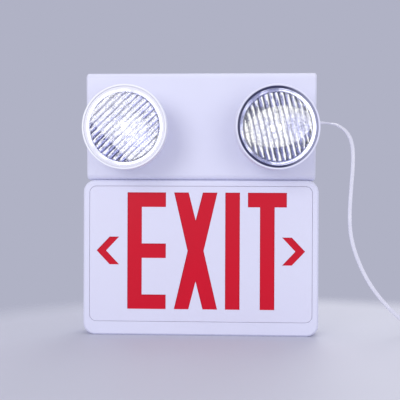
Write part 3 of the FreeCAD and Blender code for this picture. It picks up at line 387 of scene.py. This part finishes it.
def coil_points():
    """The spare cord's turns, clockwise: out to in on the floor, then in to out on top."""
    points = []
    turns = len(COIL_TURN_RADII)
    for count in range(turns * TURN_POINTS + TURN_POINTS // 4 + 1):
        turn, step = divmod(count, TURN_POINTS)
        before, after = min(turn, turns - 1), min(turn + 1, turns - 1)
        share = max(0.0, (step - TURN_POINTS + STEP_POINTS) / STEP_POINTS)
        radius = COIL_TURN_RADII[before] * (1 - share) + COIL_TURN_RADII[after] * share
        height = COIL_LAYERS[before] * (1 - share) + COIL_LAYERS[after] * share
        angle = math.pi / 2 - 2 * math.pi * count / TURN_POINTS
        points.append(
            (
                COIL_MIDDLE[0] + radius * MM * math.cos(angle),
                COIL_MIDDLE[1] + radius * MM * math.sin(angle),
                height * MM,
            )
        )
    return points


def cord_line():
    """The cord's centreline, read from one smooth NURBS spline."""
    curve = bpy.data.curves.new("cord_line", "CURVE")
    curve.dimensions = "3D"
    curve.resolution_u = 6
    spline = curve.splines.new("NURBS")
    points = CORD_ROUTE + coil_points() + TAIL_ROUTE
    spline.points.add(len(points) - 1)
    for point, place in zip(spline.points, points):
        point.co = (*place, 1.0)
    spline.order_u = 3
    spline.use_endpoint_u = True
    line = bpy.data.objects.new("cord_line", curve)
    scene.collection.objects.link(line)
    bpy.context.view_layer.update()
    shown = line.evaluated_get(bpy.context.evaluated_depsgraph_get())
    mesh = bpy.data.meshes.new_from_object(shown)
    path = [vertex.co.copy() for vertex in mesh.vertices]
    bpy.data.objects.remove(line)
    bpy.data.meshes.remove(mesh)
    return path


def twin_section():
    """The cord's outline: two insulated wires side by side, with a shallow groove between them."""
    wire = CORD_THICK / 2
    groove = 0.72
    places = []
    for side in (1, -1):
        for step in range(-4, 5):
            angle = math.radians(step * 16)
            places.append((side * (wire + wire * math.cos(angle)), side * wire * math.sin(angle)))
        places.append((0.0, side * wire * groove))
    return places


def eased(value, limits):
    """From 0 to 1 between the limits, with soft ends."""
    share = min(1.0, max(0.0, (value - limits[0]) / (limits[1] - limits[0])))
    return share * share * (3 - 2 * share)


def make_cord():
    """Sweeps the cord's outline along its line with its twist; gives the piece and its path."""
    path = cord_line()
    section = twin_section()
    level = Vector((0, 1, 0))
    gone = 0.0
    rings = []
    for here, point in enumerate(path):
        gone += (point - path[max(here - 1, 0)]).length / MM
        ahead = path[min(here + 1, len(path) - 1)] - path[max(here - 1, 0)]
        ahead.normalize()
        level = (level - ahead * level.dot(ahead)).normalized()
        quarter = eased(gone, TURNS_FORWARD) - eased(gone, TURNS_FLAT)
        across = Matrix.Rotation(quarter * math.pi / 2, 3, ahead) @ level
        up = across.cross(ahead)
        rings.append([point + across * (u * MM) + up * (v * MM) for u, v in section])
    around = len(section)
    vertices = [tuple(place) for ring in rings for place in ring]
    faces = [tuple(reversed(range(around)))]
    for ring in range(len(rings) - 1):
        low = ring * around
        for step in range(around):
            after = (step + 1) % around
            faces.append((low + step, low + after, low + after + around, low + step + around))
    faces.append(tuple(range((len(rings) - 1) * around, len(rings) * around)))
    mesh = bpy.data.meshes.new("mains_cord")
    mesh.from_pydata(vertices, [], faces)
    cord = bpy.data.objects.new("mains_cord", mesh)
    scene.collection.objects.link(cord)
    edit(cord)
    merge(0.0)
    smooth(cord, 50)
    return cord, path


mains_cord, cord_path = make_cord()
dress(mains_cord, pvc_white)
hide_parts("power_cord", "power_cord_coil")


# The sleeve at the wall, in millimetres: half its size front to back and up, how far inside the
# cord's exit its ribs begin, their length in all, and the shares of a rib and of the gap after it.
SLEEVE_SIZE = (3.6, 2.4)
SLEEVE_ROOT = 4.0
SLEEVE_LENGTH = 13.0
SLEEVE_RIBS = 5
RIB_SHARE, GAP_SHARE = 0.55, 0.45


def make_strain_relief():
    """The tapered, ribbed sleeve through which the cord leaves the right wall."""
    object_mode()
    x, y, z = CORD_EXIT
    base = (x - SLEEVE_ROOT * MM, y, z)
    bpy.ops.mesh.primitive_cylinder_add(
        vertices=32,
        radius=1.0,
        depth=2 * MM,
        location=(base[0] - MM, y, z),
        rotation=AXIS_TO_X,
    )
    sleeve = added("cord_strain_relief")
    edit(sleeve)
    everything()
    scale_about((1, SLEEVE_SIZE[0] * MM, SLEEVE_SIZE[1] * MM), base)
    pitch = SLEEVE_LENGTH / SLEEVE_RIBS
    for rib in range(SLEEVE_RIBS):
        pick("FACE", lambda _, normal: normal.x > 0.9)
        extrude((pitch * RIB_SHARE * MM, 0, 0), (1, 0.97, 0.97), base)
        extrude((0, 0, 0), (1, 0.9, 0.9), base)
        extrude((pitch * GAP_SHARE * MM, 0, 0))
        if rib < SLEEVE_RIBS - 1:
            extrude((0, 0, 0), (1, 1.06, 1.06), base)
    merge()
    rounded(sleeve, 0.15, 2, 40)
    smooth(sleeve, 60)
    return sleeve


strain_relief = dress(make_strain_relief(), pvc_white)
cord_tie = dress(softened("cord_tie", 0.2), nylon_black)
plug_body = dress(softened("plug_body", 1.2, segments=3), pvc_white)
plug_blades = dress(softened("plug_blades", 0.3), nickel_brass)
bushing = dress(softened("cord_bushing", 0.4), pvc_white)


# ---------------------------------------------------------------- housings and sign
dress(softened("upper_housing", 1.4, segments=4), abs_white)
dress(softened("sign_frame", 0.25), abs_white)
dress(softened("sign_face", 0.15, crease=10), abs_panel)
dress(softened("sign_back_plate", 0.3), abs_white)
dress(softened("upper_back_plate", 0, crease=20), abs_white)
dress(softened("red_lens", 0, crease=10), acrylic_red)
dress(softened("test_button", 0.5, segments=3), button_grey, "test_button")
dress(softened("indicator_led", 0.3), indicator_green)


# ---------------------------------------------------------------- lamp heads
# The pivots' place, in metres.
PIVOT_SIDE = 0.0913
PIVOT_DEPTH = -0.045
PIVOT_LEVEL = 0.267
# Each head's place across, then the turn of its base, its tilt and its lens's own turn, in degrees.
HEADS = {
    "left": (-PIVOT_SIDE, -44.0, 0.0, 0.0),
    "right": (PIVOT_SIDE, 90.0, -8.5, -12.5),
}
# The window, in millimetres: its flutes, its radius, and its levels in front of the pivot.
FLUTE_PITCH = 6.6
FLUTE_ROUND = 6.0
FLUTES = 13
WINDOW_RADIUS = 42.7
WINDOW_BACK = 43.2
VALLEY = 44.4
CROWN = 1.7
# The flutes step back near their ends, down a narrow slope; what lies past STEP_MIDDLE moves.
STEP_FROM, STEP_MIDDLE, STEP_TO = 23.6, 24.1, 24.4
STEP_DEPTH = 0.45
SEAT_RADIUS = 49.9
# Corners of a lamp's round pieces.
ROUND_POINTS = 128
# The reflector, in millimetres: its blank, the rounded hollow in it, and its two flat walls.
BOWL_DEPTH, BOWL_MOUTH = 11.6, 39.9
HOLLOW_RADIUS, HOLLOW_DEPTH, HOLLOW_MOUTH = 43, 11.3, 40.4
WALL_PLACE = 24
# The swivel, in millimetres from the pivot: its foot with a shallow groove, the ears either side of
# the tongue, which widen towards the foot and sink into it, their bosses, and the spigot.
FOOT_FRONT, FOOT_BACK = 16.8, 21.8
FOOT_WIDTH, FOOT_HEIGHT = 34, 28
FOOT_ROUND = 9
GROOVE_INSET, GROOVE_WIDTH, GROOVE_DEPTH = 2.2, 0.8, 0.9
EAR_INNER, EAR_OUTER = 4.2, 8.7
EAR_SPREAD = 1.14
KNUCKLE = 9.0
EAR_SINK = 0.4
BOSS_RADIUS = 6.4
BOSS_DEPTH, BOSS_INSET = 1.0, 0.3
SPIGOT_RADIUS = 8
SPIGOT_MIDDLE, SPIGOT_LENGTH = 25.0, 6.6


def swivel_matrix(side):
    """Takes a piece modelled about its pivot to the place and turn of a swivel's base."""
    across, turn, _, _ = HEADS[side]
    place = Matrix.Translation((across, PIVOT_DEPTH, PIVOT_LEVEL))
    return place @ Matrix.Rotation(math.radians(turn), 4, "Y")


def lamp_matrix(side, lens=False):
    """The same for a lamp, or for the lens as it is turned in it."""
    _, _, tilt, lens_turn = HEADS[side]
    matrix = swivel_matrix(side) @ Matrix.Rotation(math.radians(tilt), 4, "X")
    return matrix @ Matrix.Rotation(math.radians(lens_turn), 4, "Y") if lens else matrix


def make_ear(side):
    """One lug of the swivel: a round end about the pivot, run into the foot, with a boss."""
    object_mode()
    middle = side * (EAR_INNER + EAR_OUTER) / 2
    bpy.ops.mesh.primitive_cylinder_add(
        vertices=64,
        radius=KNUCKLE * MM,
        depth=(EAR_OUTER - EAR_INNER) * MM,
        location=(middle * MM, 0, 0),
        rotation=AXIS_TO_X,
    )
    ear = added("swivel_ear")
    edit(ear)
    slice_at((0, 0, 0), (0, -1, 0), keep_front=True)
    pick("EDGE", lambda place, _: abs(place.y) < 0.01 * MM)
    bpy.ops.mesh.edge_face_add()
    pick("FACE", lambda place, normal: abs(normal.y) > 0.9 and abs(place.y) < 0.01 * MM)
    extrude((0, (FOOT_FRONT + EAR_SINK) * MM, 0), (1, 1, EAR_SPREAD))
    merge(0.005)
    object_mode()
    bpy.ops.mesh.primitive_cylinder_add(
        vertices=48,
        radius=BOSS_RADIUS * MM,
        depth=BOSS_DEPTH * MM,
        location=(side * (EAR_OUTER - BOSS_INSET) * MM, 0, 0),
        rotation=AXIS_TO_X,
    )
    boss = added("swivel_boss")
    edit(boss)
    pick("FACE", lambda _, normal: normal.x * side > 0.9)
    bpy.ops.mesh.inset(thickness=0.5 * MM)
    push((side * -0.15 * MM, 0, 0))
    cut(ear, boss, "UNION")
    return ear


def make_swivel(name):
    """The turning foot: a round-cornered pad with a shallow groove, its spigot, and two ears."""
    object_mode()
    bpy.ops.mesh.primitive_cube_add(
        size=1,
        location=(0, (FOOT_BACK + FOOT_FRONT) / 2 * MM, 0),
        scale=(FOOT_WIDTH * MM, (FOOT_BACK - FOOT_FRONT) * MM, FOOT_HEIGHT * MM),
    )
    foot = added(name)
    edit(foot, "EDGE")
    pick("EDGE", lambda _, way: abs(way.y) > 0.9)
    bpy.ops.mesh.bevel(offset=FOOT_ROUND * MM, segments=8, affect="EDGES", profile=0.5)
    pick("FACE", lambda _, normal: normal.y < -0.9)
    bpy.ops.mesh.inset(thickness=GROOVE_INSET * MM)
    push((0, GROOVE_DEPTH * MM, 0))
    bpy.ops.mesh.inset(thickness=GROOVE_WIDTH * MM)
    push((0, -GROOVE_DEPTH * MM, 0))
    merge(0.005)
    object_mode()
    for side in (-1, 1):
        cut(foot, make_ear(side), "UNION")
    object_mode()
    bpy.ops.mesh.primitive_cylinder_add(
        vertices=48,
        radius=SPIGOT_RADIUS * MM,
        depth=SPIGOT_LENGTH * MM,
        location=(0, SPIGOT_MIDDLE * MM, 0),
        rotation=AXIS_TO_Y,
    )
    spigot = added("swivel_spigot")
    cut(foot, spigot, "UNION")
    edit(foot)
    merge(0.005)
    rounded(foot, 0.35, 2, 50)
    smooth(foot, 35)
    return foot


def make_window(name):
    """The fluted window, beam towards -Y: rounded flutes side by side, stepped near their ends,
    crowned as a whole, thickened to a flat back and trimmed round."""
    object_mode()
    half_chord = FLUTE_PITCH / 2
    sink = math.sqrt(FLUTE_ROUND**2 - half_chord**2)
    first = -(FLUTES - 1) / 2 * FLUTE_PITCH
    bpy.ops.mesh.primitive_cylinder_add(
        vertices=120,
        radius=FLUTE_ROUND * MM,
        depth=2 * (WINDOW_RADIUS + 2) * MM,
        end_fill_type="NOTHING",
        location=(0, (sink - VALLEY) * MM, first * MM),
        rotation=AXIS_TO_X,
    )
    window = added(name)
    edit(window)
    slice_at((0, -VALLEY * MM, 0), (0, -1, 0), keep_front=True)
    # Slices every 3 mm along the flutes, so that the crown can bend them.
    for place in range(-42, 43, 3):
        slice_at((place * MM, 0, 0), (1, 0, 0))
    for step in (STEP_FROM, STEP_TO):
        for way in (-1, 1):
            slice_at((way * step * MM, 0, 0), (1, 0, 0))
    everything()
    for _ in range(FLUTES - 1):
        bpy.ops.mesh.duplicate()
        push((0, 0, FLUTE_PITCH * MM))
    merge(0.02)
    pick("VERT", lambda place, _: abs(place.x) > STEP_MIDDLE * MM)
    push((0, STEP_DEPTH * MM, 0))
    pick("VERT", lambda place, _: abs(place.x) < 0.5 * MM and abs(place.z) < 0.4 * MM)
    bpy.ops.transform.translate(
        value=(0, -CROWN * MM, 0),
        use_proportional_edit=True,
        proportional_edit_falloff="INVERSE_SQUARE",
        proportional_size=(WINDOW_RADIUS + 1) * MM,
    )
    everything()
    extrude((0, 6 * MM, 0), (1, 0, 1), (0, -WINDOW_BACK * MM, 0))
    merge(0.001)
    object_mode()
    bpy.ops.mesh.primitive_cylinder_add(
        vertices=ROUND_POINTS,
        radius=WINDOW_RADIUS * MM,
        depth=0.03,
        location=(0, -0.045, 0),
        rotation=AXIS_TO_Y,
    )
    cut(window, added("window_trim"), "INTERSECT")
    edit(window)
    merge(0.005)
    smooth(window, 40)
    return window


def ring_of(name, profile):
    """A closed ring about the beam from its profile's (radius, reach) corners, in millimetres."""
    object_mode()
    radius, reach = profile[0]
    bpy.ops.mesh.primitive_circle_add(
        vertices=ROUND_POINTS, radius=radius * MM, location=(0, -reach * MM, 0), rotation=AXIS_TO_Y
    )
    ring = added(name)
    edit(ring, "EDGE")
    everything()
    for new_radius, new_reach in profile[1:] + profile[:1]:
        share = new_radius / radius
        extrude((0, (reach - new_reach) * MM, 0), (share, 1, share))
        radius, reach = new_radius, new_reach
    merge(0.005)
    smooth(ring, 30)
    return ring


def make_reflector(name):
    """The metallised bowl, cut off above and below by two flat walls with a shelf beyond each."""
    object_mode()
    bpy.ops.mesh.primitive_cylinder_add(
        vertices=ROUND_POINTS,
        radius=SEAT_RADIUS * MM,
        depth=BOWL_DEPTH * MM,
        location=(0, (BOWL_DEPTH / 2 - BOWL_MOUTH) * MM, 0),
        rotation=AXIS_TO_Y,
    )
    bowl = added(name)
    bpy.ops.mesh.primitive_uv_sphere_add(
        segments=96,
        ring_count=48,
        radius=1.0,
        location=(0, -HOLLOW_MOUTH * MM, 0),
        rotation=AXIS_TO_Y,
        scale=(HOLLOW_RADIUS * MM, HOLLOW_RADIUS * MM, HOLLOW_DEPTH * MM),
    )
    hollow = added("bowl_hollow")
    edit(hollow)
    for way in (-1, 1):
        everything()
        bpy.ops.mesh.bisect(
            plane_co=(way * WALL_PLACE * MM, 0, 0),
            plane_no=(way, 0, 0),
            use_fill=True,
            clear_outer=True,
        )
    object_mode()
    cut(bowl, hollow)
    edit(bowl)
    merge(0.005)
    smooth(bowl, 30)
    return bowl


def step_between(tree, value, low, high, to_low=0.0, to_high=1.0):
    """A soft step of a value between two limits."""
    ranged = add_node(
        tree,
        "MapRange",
        {"Value": value, "From Min": low, "From Max": high, "To Min": to_low, "To Max": to_high},
        interpolation_type="SMOOTHSTEP",
    )
    return ranged.outputs["Result"]


def maths(tree, operation, one, other=0.0):
    """One sum of two values."""
    return add_node(tree, "Math", {0: one, 1: other}, operation=operation).outputs[0]


def product(tree, *values):
    """All the values multiplied."""
    result = values[0]
    for value in values[1:]:
        result = maths(tree, "MULTIPLY", result, value)
    return result


def across_beam(tree, local):
    """The place in a lens's own axes with its depth left out."""
    sockets = {0: local, 1: (1, 0, 1)}
    return add_node(tree, "VectorMath", sockets, operation="MULTIPLY").outputs["Vector"]


def distance(tree, place, start=(0, 0, 0)):
    """How far a place is from another."""
    sockets = {0: place, 1: start}
    return add_node(tree, "VectorMath", sockets, operation="DISTANCE").outputs["Value"]


def noise(tree, place, scale, detail):
    """Cloudy noise; scale is its fineness per metre."""
    sockets = {"Vector": place, "Scale": scale, "Detail": detail}
    return add_node(tree, "TexNoise", sockets).outputs["Fac"]


def object_across(tree):
    """How far to the right a point of the object is, in metres."""
    place = add_node(tree, "TexCoord").outputs["Object"]
    return add_node(tree, "SeparateXYZ", {"Vector": place}).outputs["X"]


def lens_axes(tree, side):
    """The place in a lens's own axes: X along its flutes, Y against the beam, Z across them."""
    matrix = lamp_matrix(side, lens=True)
    return add_node(
        tree,
        "Mapping",
        {
            "Vector": add_node(tree, "TexCoord").outputs["Object"],
            "Location": matrix.translation,
            "Rotation": matrix.to_euler(),
        },
        vector_type="TEXTURE",
    ).outputs["Vector"]


def streaks(tree, local, scale, detail=1.0):
    """Noise drawn out along the flutes; scale is its fineness along and across them, per metre."""
    stretched = add_node(tree, "Mapping", {"Vector": local, "Scale": (scale[0], 0, scale[1])})
    return noise(tree, stretched.outputs["Vector"], 1.0, detail)


# The lamp's light through each lens is painted on as a glow; its streaks, dark lines and hot spot
# are painted.
# How each lit lens looks: where its hazy hot spot is, in metres along and across the flutes; how
# dark the line beside each streak is, and between which heights of the wave it fades; how bright
# the haze is; how dark the speckle gets; the glow left at the window's edge; the glow as a whole;
# and its colour away from the hot spot and in it.
LENS_LOOKS = {
    "left": {
        "hot_spot": (0.004, 0, -0.008),
        "dark_line": 0.3,
        "line_fades": (-0.85, 0.0),
        "haze": 0.93,
        "speckle": 0.52,
        "edge": 0.3,
        "power": 0.94,
        "colours": ("f8f8ff", "ffffff"),
    },
    "right": {
        "hot_spot": (0.002, 0, 0.025),
        "dark_line": 0.2,
        "line_fades": (-0.95, -0.4),
        "haze": 0.8,
        "speckle": 0.55,
        "edge": 0.0,
        "power": 0.9,
        "colours": ("fffef0", "f0f0ff"),
    },
}
# The barrel of light: how far it reaches along the flutes, and how its edge bows on the right lamp.
BARREL_EDGE = (0.0246, 0.0254)
BARREL_BOW = 9.5
# The window's round edge and its front skin, the only part that glows, in metres.
WINDOW_EDGE = (0.0414, 0.0421)
FRONT_SKIN = (-0.0436, -0.0434)


def lit_lens(side):
    """Clear polycarbonate window of a lit lamp, its light and refraction painted on as a glow: a
    painted bright streak on each flute with a painted dark line beside it, short and stark past the
    barrel."""
    look = LENS_LOOKS[side]
    material, tree, shader = blank(
        f"lit_polycarbonate_{side}", "f6f8ff", Roughness=0.03, IOR=1.585, Transmission_Weight=1.0
    )
    local = lens_axes(tree, side)
    parts = add_node(tree, "SeparateXYZ", {"Vector": local})
    along, over = parts.outputs["X"], parts.outputs["Z"]
    slow = streaks(tree, local, (40, 160), 2.0)
    quick = streaks(tree, local, (90, 520))
    grain = noise(tree, local, 480.0, 1.0)
    flat = across_beam(tree, local)
    haze = step_between(tree, distance(tree, flat, look["hot_spot"]), 0.004, 0.024, 1.0, 0.0)

    # A wave with one crest to a flute, which wanders a little along it.
    wander = maths(tree, "MULTIPLY", maths(tree, "SUBTRACT", slow, 0.5), 3.0)
    phase = maths(tree, "MULTIPLY", over, 2 * math.pi / (FLUTE_PITCH * MM))
    wave = maths(tree, "COSINE", maths(tree, "ADD", phase, wander))
    if side == "right":
        bow = maths(tree, "MULTIPLY", product(tree, over, over), BARREL_BOW)
        reach = maths(tree, "ADD", maths(tree, "ABSOLUTE", along), bow)
    else:
        reach = maths(tree, "MULTIPLY", along, -1.0)
    barrel = step_between(tree, reach, *BARREL_EDGE, 1.0, 0.0)

    # In the barrel: bright streaks, dark lines that the haze fills, and speckle.
    line = step_between(tree, wave, *look["line_fades"], look["dark_line"], 1.0)
    fill = maths(tree, "MULTIPLY", haze, 0.85)
    line = add_node(tree, "Mix", {0: fill, 2: line, 3: look["haze"]}).outputs[0]
    body = maths(
        tree,
        "MULTIPLY",
        step_between(tree, quick, 0.3, 0.62, 0.5, 1.0),
        step_between(tree, grain, 0.4, 0.56, look["speckle"], 1.0),
    )
    lit = product(tree, line, body)

    # Beyond it: short stark streaks on the crests.
    crests = maths(tree, "ADD", maths(tree, "MULTIPLY", wave, 0.2), quick)
    stark = step_between(tree, crests, 0.54, 0.66, 0.04, 0.78)

    inside = step_between(tree, distance(tree, flat), *WINDOW_EDGE, 1.0, look["edge"])
    front = step_between(tree, parts.outputs["Y"], *FRONT_SKIN, look["power"], 0.0)
    pattern = add_node(tree, "Mix", {0: barrel, 2: stark, 3: lit}).outputs[0]
    glow = product(tree, pattern, front, inside)
    warmth = add_node(tree, "ValToRGB", {"Fac": haze})
    for stop, colour in zip(warmth.color_ramp.elements, look["colours"]):
        stop.color = linear(colour)
    tree.links.new(warmth.outputs["Color"], shader.inputs["Emission Color"])
    tree.links.new(glow, shader.inputs["Emission Strength"])
    return material


def lit_rim(side):
    """Clear flange round the window, with a painted glow: painted highlights in patches, crossed on
    the right lamp by painted bright and dark rings, and a painted reflection towards the right."""
    material, tree, shader = blank(
        f"lit_polycarbonate_rim_{side}",
        "f6f8ff",
        Roughness=0.05,
        IOR=1.585,
        Transmission_Weight=1.0,
    )
    local = lens_axes(tree, side)
    cloud = noise(tree, local, 75.0, 3.0)
    radius = distance(tree, across_beam(tree, local))
    outside = step_between(tree, radius, 0.0432, 0.0439)
    if side == "right":
        off_ring = maths(tree, "SUBTRACT", radius, 0.0446)
        rings = maths(tree, "COSINE", maths(tree, "MULTIPLY", off_ring, 2400.0))
        # Painted reflection: the flange glows brighter towards the object's right.
        across = object_across(tree)
        outer = step_between(tree, across, PIVOT_SIDE + 0.02, PIVOT_SIDE + 0.042, 0.0, 0.5)
        # Painted highlights in patches, crossed by painted bright and dark rings.
        patch = product(
            tree,
            step_between(tree, cloud, 0.42, 0.58, 0.05, 0.5),
            step_between(tree, rings, -0.6, 0.4, 0.25, 1.0),
        )
        glow = maths(tree, "ADD", patch, outer)
    else:
        # Painted highlights in patches all round the flange.
        glow = step_between(tree, cloud, 0.3, 0.6, 0.4, 0.55)
    shader.inputs["Emission Color"].default_value = linear("f4f4ff")
    tree.links.new(product(tree, glow, outside), shader.inputs["Emission Strength"])
    return material


def aluminised(side):
    """Vacuum-metallised bowl, its metal painted a dark blue-grey as painted shade, with a painted
    glow where the lamp's light falls on it.
    """
    material, tree, shader = blank(
        f"aluminised_reflector_{side}", "484a70", Metallic=1.0, Roughness=0.22
    )
    local = lens_axes(tree, side)
    parts = add_node(tree, "SeparateXYZ", {"Vector": local})
    away = maths(tree, "ABSOLUTE", parts.outputs["X"])
    # Painted glow of the lamp's light in the barrel, rippled.
    barrel = step_between(tree, away, 0.0235, 0.0255, 0.1, 0.0)
    ripple = step_between(tree, noise(tree, local, 160.0, 3.0), 0.3, 0.7, 0.5, 1.2)
    shader.inputs["Emission Color"].default_value = linear("fffff4")
    tree.links.new(product(tree, barrel, ripple), shader.inputs["Emission Strength"])
    return material


def seal_silicone_painted_dark():
    """Silicone of the right lamp's seal: soft and dull, painted near black as a painted dark ring,
    and paler on its outer side as a painted reflection."""
    near, far = "34365a", "9a9cb8"
    material = moulded("seal_silicone_painted_dark", near, near, 0.4, IOR=1.41)
    tree = material.node_tree
    # Painted reflection: the seal's colour pales from near black towards its outer side.
    outward = add_node(
        tree,
        "MapRange",
        {
            "Value": object_across(tree),
            "From Min": PIVOT_SIDE + 0.0137,
            "From Max": PIVOT_SIDE + 0.0457,
        },
    )
    shades = add_node(tree, "ValToRGB", {"Fac": outward.outputs["Result"]})
    for stop, colour in zip(shades.color_ramp.elements, (near, far)):
        stop.color = linear(colour)
    tree.links.new(shades.outputs["Color"], tree.nodes["Principled BSDF"].inputs["Base Color"])
    return material


def lit_phosphor():
    """Lit LED phosphor: warm white light."""
    material, _, shader = blank("lit_phosphor", "fff3c8", Roughness=0.4, Emission_Strength=0.9)
    shader.inputs["Emission Color"].default_value = linear("fff6dc")
    return material


phosphor = lit_phosphor()
# Each seal's material and slot; the profiles of flange and seal, (radius, reach) in millimetres.
# The left seal is painted white and the right one dark: painted light and painted shade on one and
# the same seal.
SEALS = {
    "left": (left_seal_painted_lit, "housing_plastic"),
    "right": (seal_silicone_painted_dark(), "black_plastic"),
}
FLANGE = [(42.9, 44.3), (44.0, 44.4), (49.6, 42.6), (49.8, 40.1), (42.9, 40.1)]
SEAL = [(49.9, 40.2), (49.9, 43.6), (47.2, 44.4), (47.2, 43.4)]

for side in HEADS:
    lamp, swivel = f"{side}_lamp", f"{side}_swivel"
    matrix = lamp_matrix(side)
    lamp_body = softened(f"{side}_lamp_body", 0.8, segments=3)
    dress(lamp_body, abs_lamp[side], lamp)
    foot = make_swivel(f"{side}_swivel_foot")
    settle(foot, swivel_matrix(side))
    dress(foot, abs_white, swivel)
    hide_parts(f"{side}_swivel_base")
    window = make_window(f"{side}_fluted_window")
    settle(window, lamp_matrix(side, lens=True))
    dress(window, lit_lens(side), lamp)
    flange = ring_of(f"{side}_lens_flange", FLANGE)
    settle(flange, matrix)
    dress(flange, lit_rim(side), lamp)
    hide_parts(f"{side}_lens")
    seal = ring_of(f"{side}_lens_seal", SEAL)
    settle(seal, matrix)
    silicone, slot = SEALS[side]
    dress(seal, silicone, lamp)
    bowl = make_reflector(f"{side}_reflector_bowl")
    settle(bowl, matrix)
    dress(bowl, aluminised(side), lamp)
    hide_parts(f"{side}_reflector")
    dress(softened(f"{side}_led_emitter", 0.4), phosphor, lamp)


# ---------------------------------------------------------------- finishes of CAD nodes that stay
CAD_FINISHES = {
    solder_mask: ["sign_led_board", "charger_board", "left_led_board", "right_led_board"],
    phosphor: ["sign_leds"],
    nylon_black: ["wire_grommet", "test_switch", "relay", "fuse_holder", "power_transistor"],
    shrink_wrap: ["battery_pack"],
    zinc_plate: [
        "battery_strap",
        "transformer_core",
        "left_swivel_clip",
        "right_swivel_clip",
        "left_pivot_screw",
        "right_pivot_screw",
    ],
    tape_yellow: ["transformer_winding", "film_capacitor"],
    aluminium: ["heat_sink"],
    pvc_white: ["lamp_socket_left", "lamp_socket_right", "battery_socket"],
}
for finish, names in CAD_FINISHES.items():
    for name in names:
        finish_with(cad[name], finish)


# ---------------------------------------------------------------- floor, light
# The table top's middle, and where it fades into the backdrop, in metres.
FLOOR_MIDDLE = (0.09, -0.12)
FLOOR_FADE = (0.40, 0.58)


def pale_floor():
    """A matt pale table top that fades into the backdrop some way behind the object."""
    material, tree, shader = blank("pale_floor", "c6c7d6", Roughness=0.6)
    place = add_node(tree, "TexCoord").outputs["Object"]
    middle = (-FLOOR_MIDDLE[0], -FLOOR_MIDDLE[1], 0)
    centred = add_node(tree, "Mapping", {"Vector": place, "Location": middle})
    edge = step_between(tree, distance(tree, centred.outputs["Vector"]), *FLOOR_FADE)
    open_air = add_node(tree, "BsdfTransparent")
    top = add_node(tree, "MixShader", {0: edge, 1: shader.outputs[0], 2: open_air.outputs[0]})
    tree.links.new(top.outputs[0], tree.nodes["Material Output"].inputs["Surface"])
    return material


object_mode()
bpy.ops.mesh.primitive_plane_add(size=9.0, location=(0, 0, 0))
floor = added("floor")
floor.data.materials.append(pale_floor())


def soft_light(name, place, aim, size, power):
    """A white softbox aimed at a point; size in metres, power in watts."""
    light = bpy.data.lights.new(name, "AREA")
    light.shape = "RECTANGLE"
    light.size, light.size_y = size
    light.energy = power
    holder = bpy.data.objects.new(name, light)
    holder.location = place
    holder.rotation_euler = (Vector(aim) - Vector(place)).to_track_quat("-Z", "Y").to_euler()
    scene.collection.objects.link(holder)


soft_light("left_softbox", (-0.75, -1.9, 0.75), (0, 0, 0.18), (0.9, 0.9), 12.2)
soft_light("right_softbox", (0.8, -1.9, 0.45), (0, 0, 0.18), (0.9, 0.9), 6.4)
soft_light("top_softbox", (0.0, 0.1, 1.5), (0, 0, 0.1), (1.0, 0.8), 2.5)
soft_light("back_softbox", (0.4, 1.6, 0.9), (0, 0, 0.15), (1.0, 0.8), 8)


def make_world():
    """Pale room light, and a pale backdrop where the camera, metal or glass look past the light."""
    world = bpy.data.worlds.new("pale_room")
    world.use_nodes = True
    tree = world.node_tree
    scene.world = world
    tree.nodes.clear()
    ray = add_node(tree, "LightPath")
    seen = maths(tree, "MAXIMUM", ray.outputs["Is Camera Ray"], ray.outputs["Is Glossy Ray"])
    seen = maths(tree, "MAXIMUM", seen, ray.outputs["Is Transmission Ray"])
    room = add_node(tree, "Background", {"Color": linear("e9e9ed"), "Strength": 0.84})
    backdrop = add_node(tree, "Background", {"Color": linear("b0b2c5"), "Strength": 1.0})
    mixed = add_node(tree, "MixShader", {0: seen, 1: room.outputs[0], 2: backdrop.outputs[0]})
    add_node(tree, "OutputWorld", {"Surface": mixed.outputs[0]})


make_world()
scene.view_settings.view_transform = "Standard"
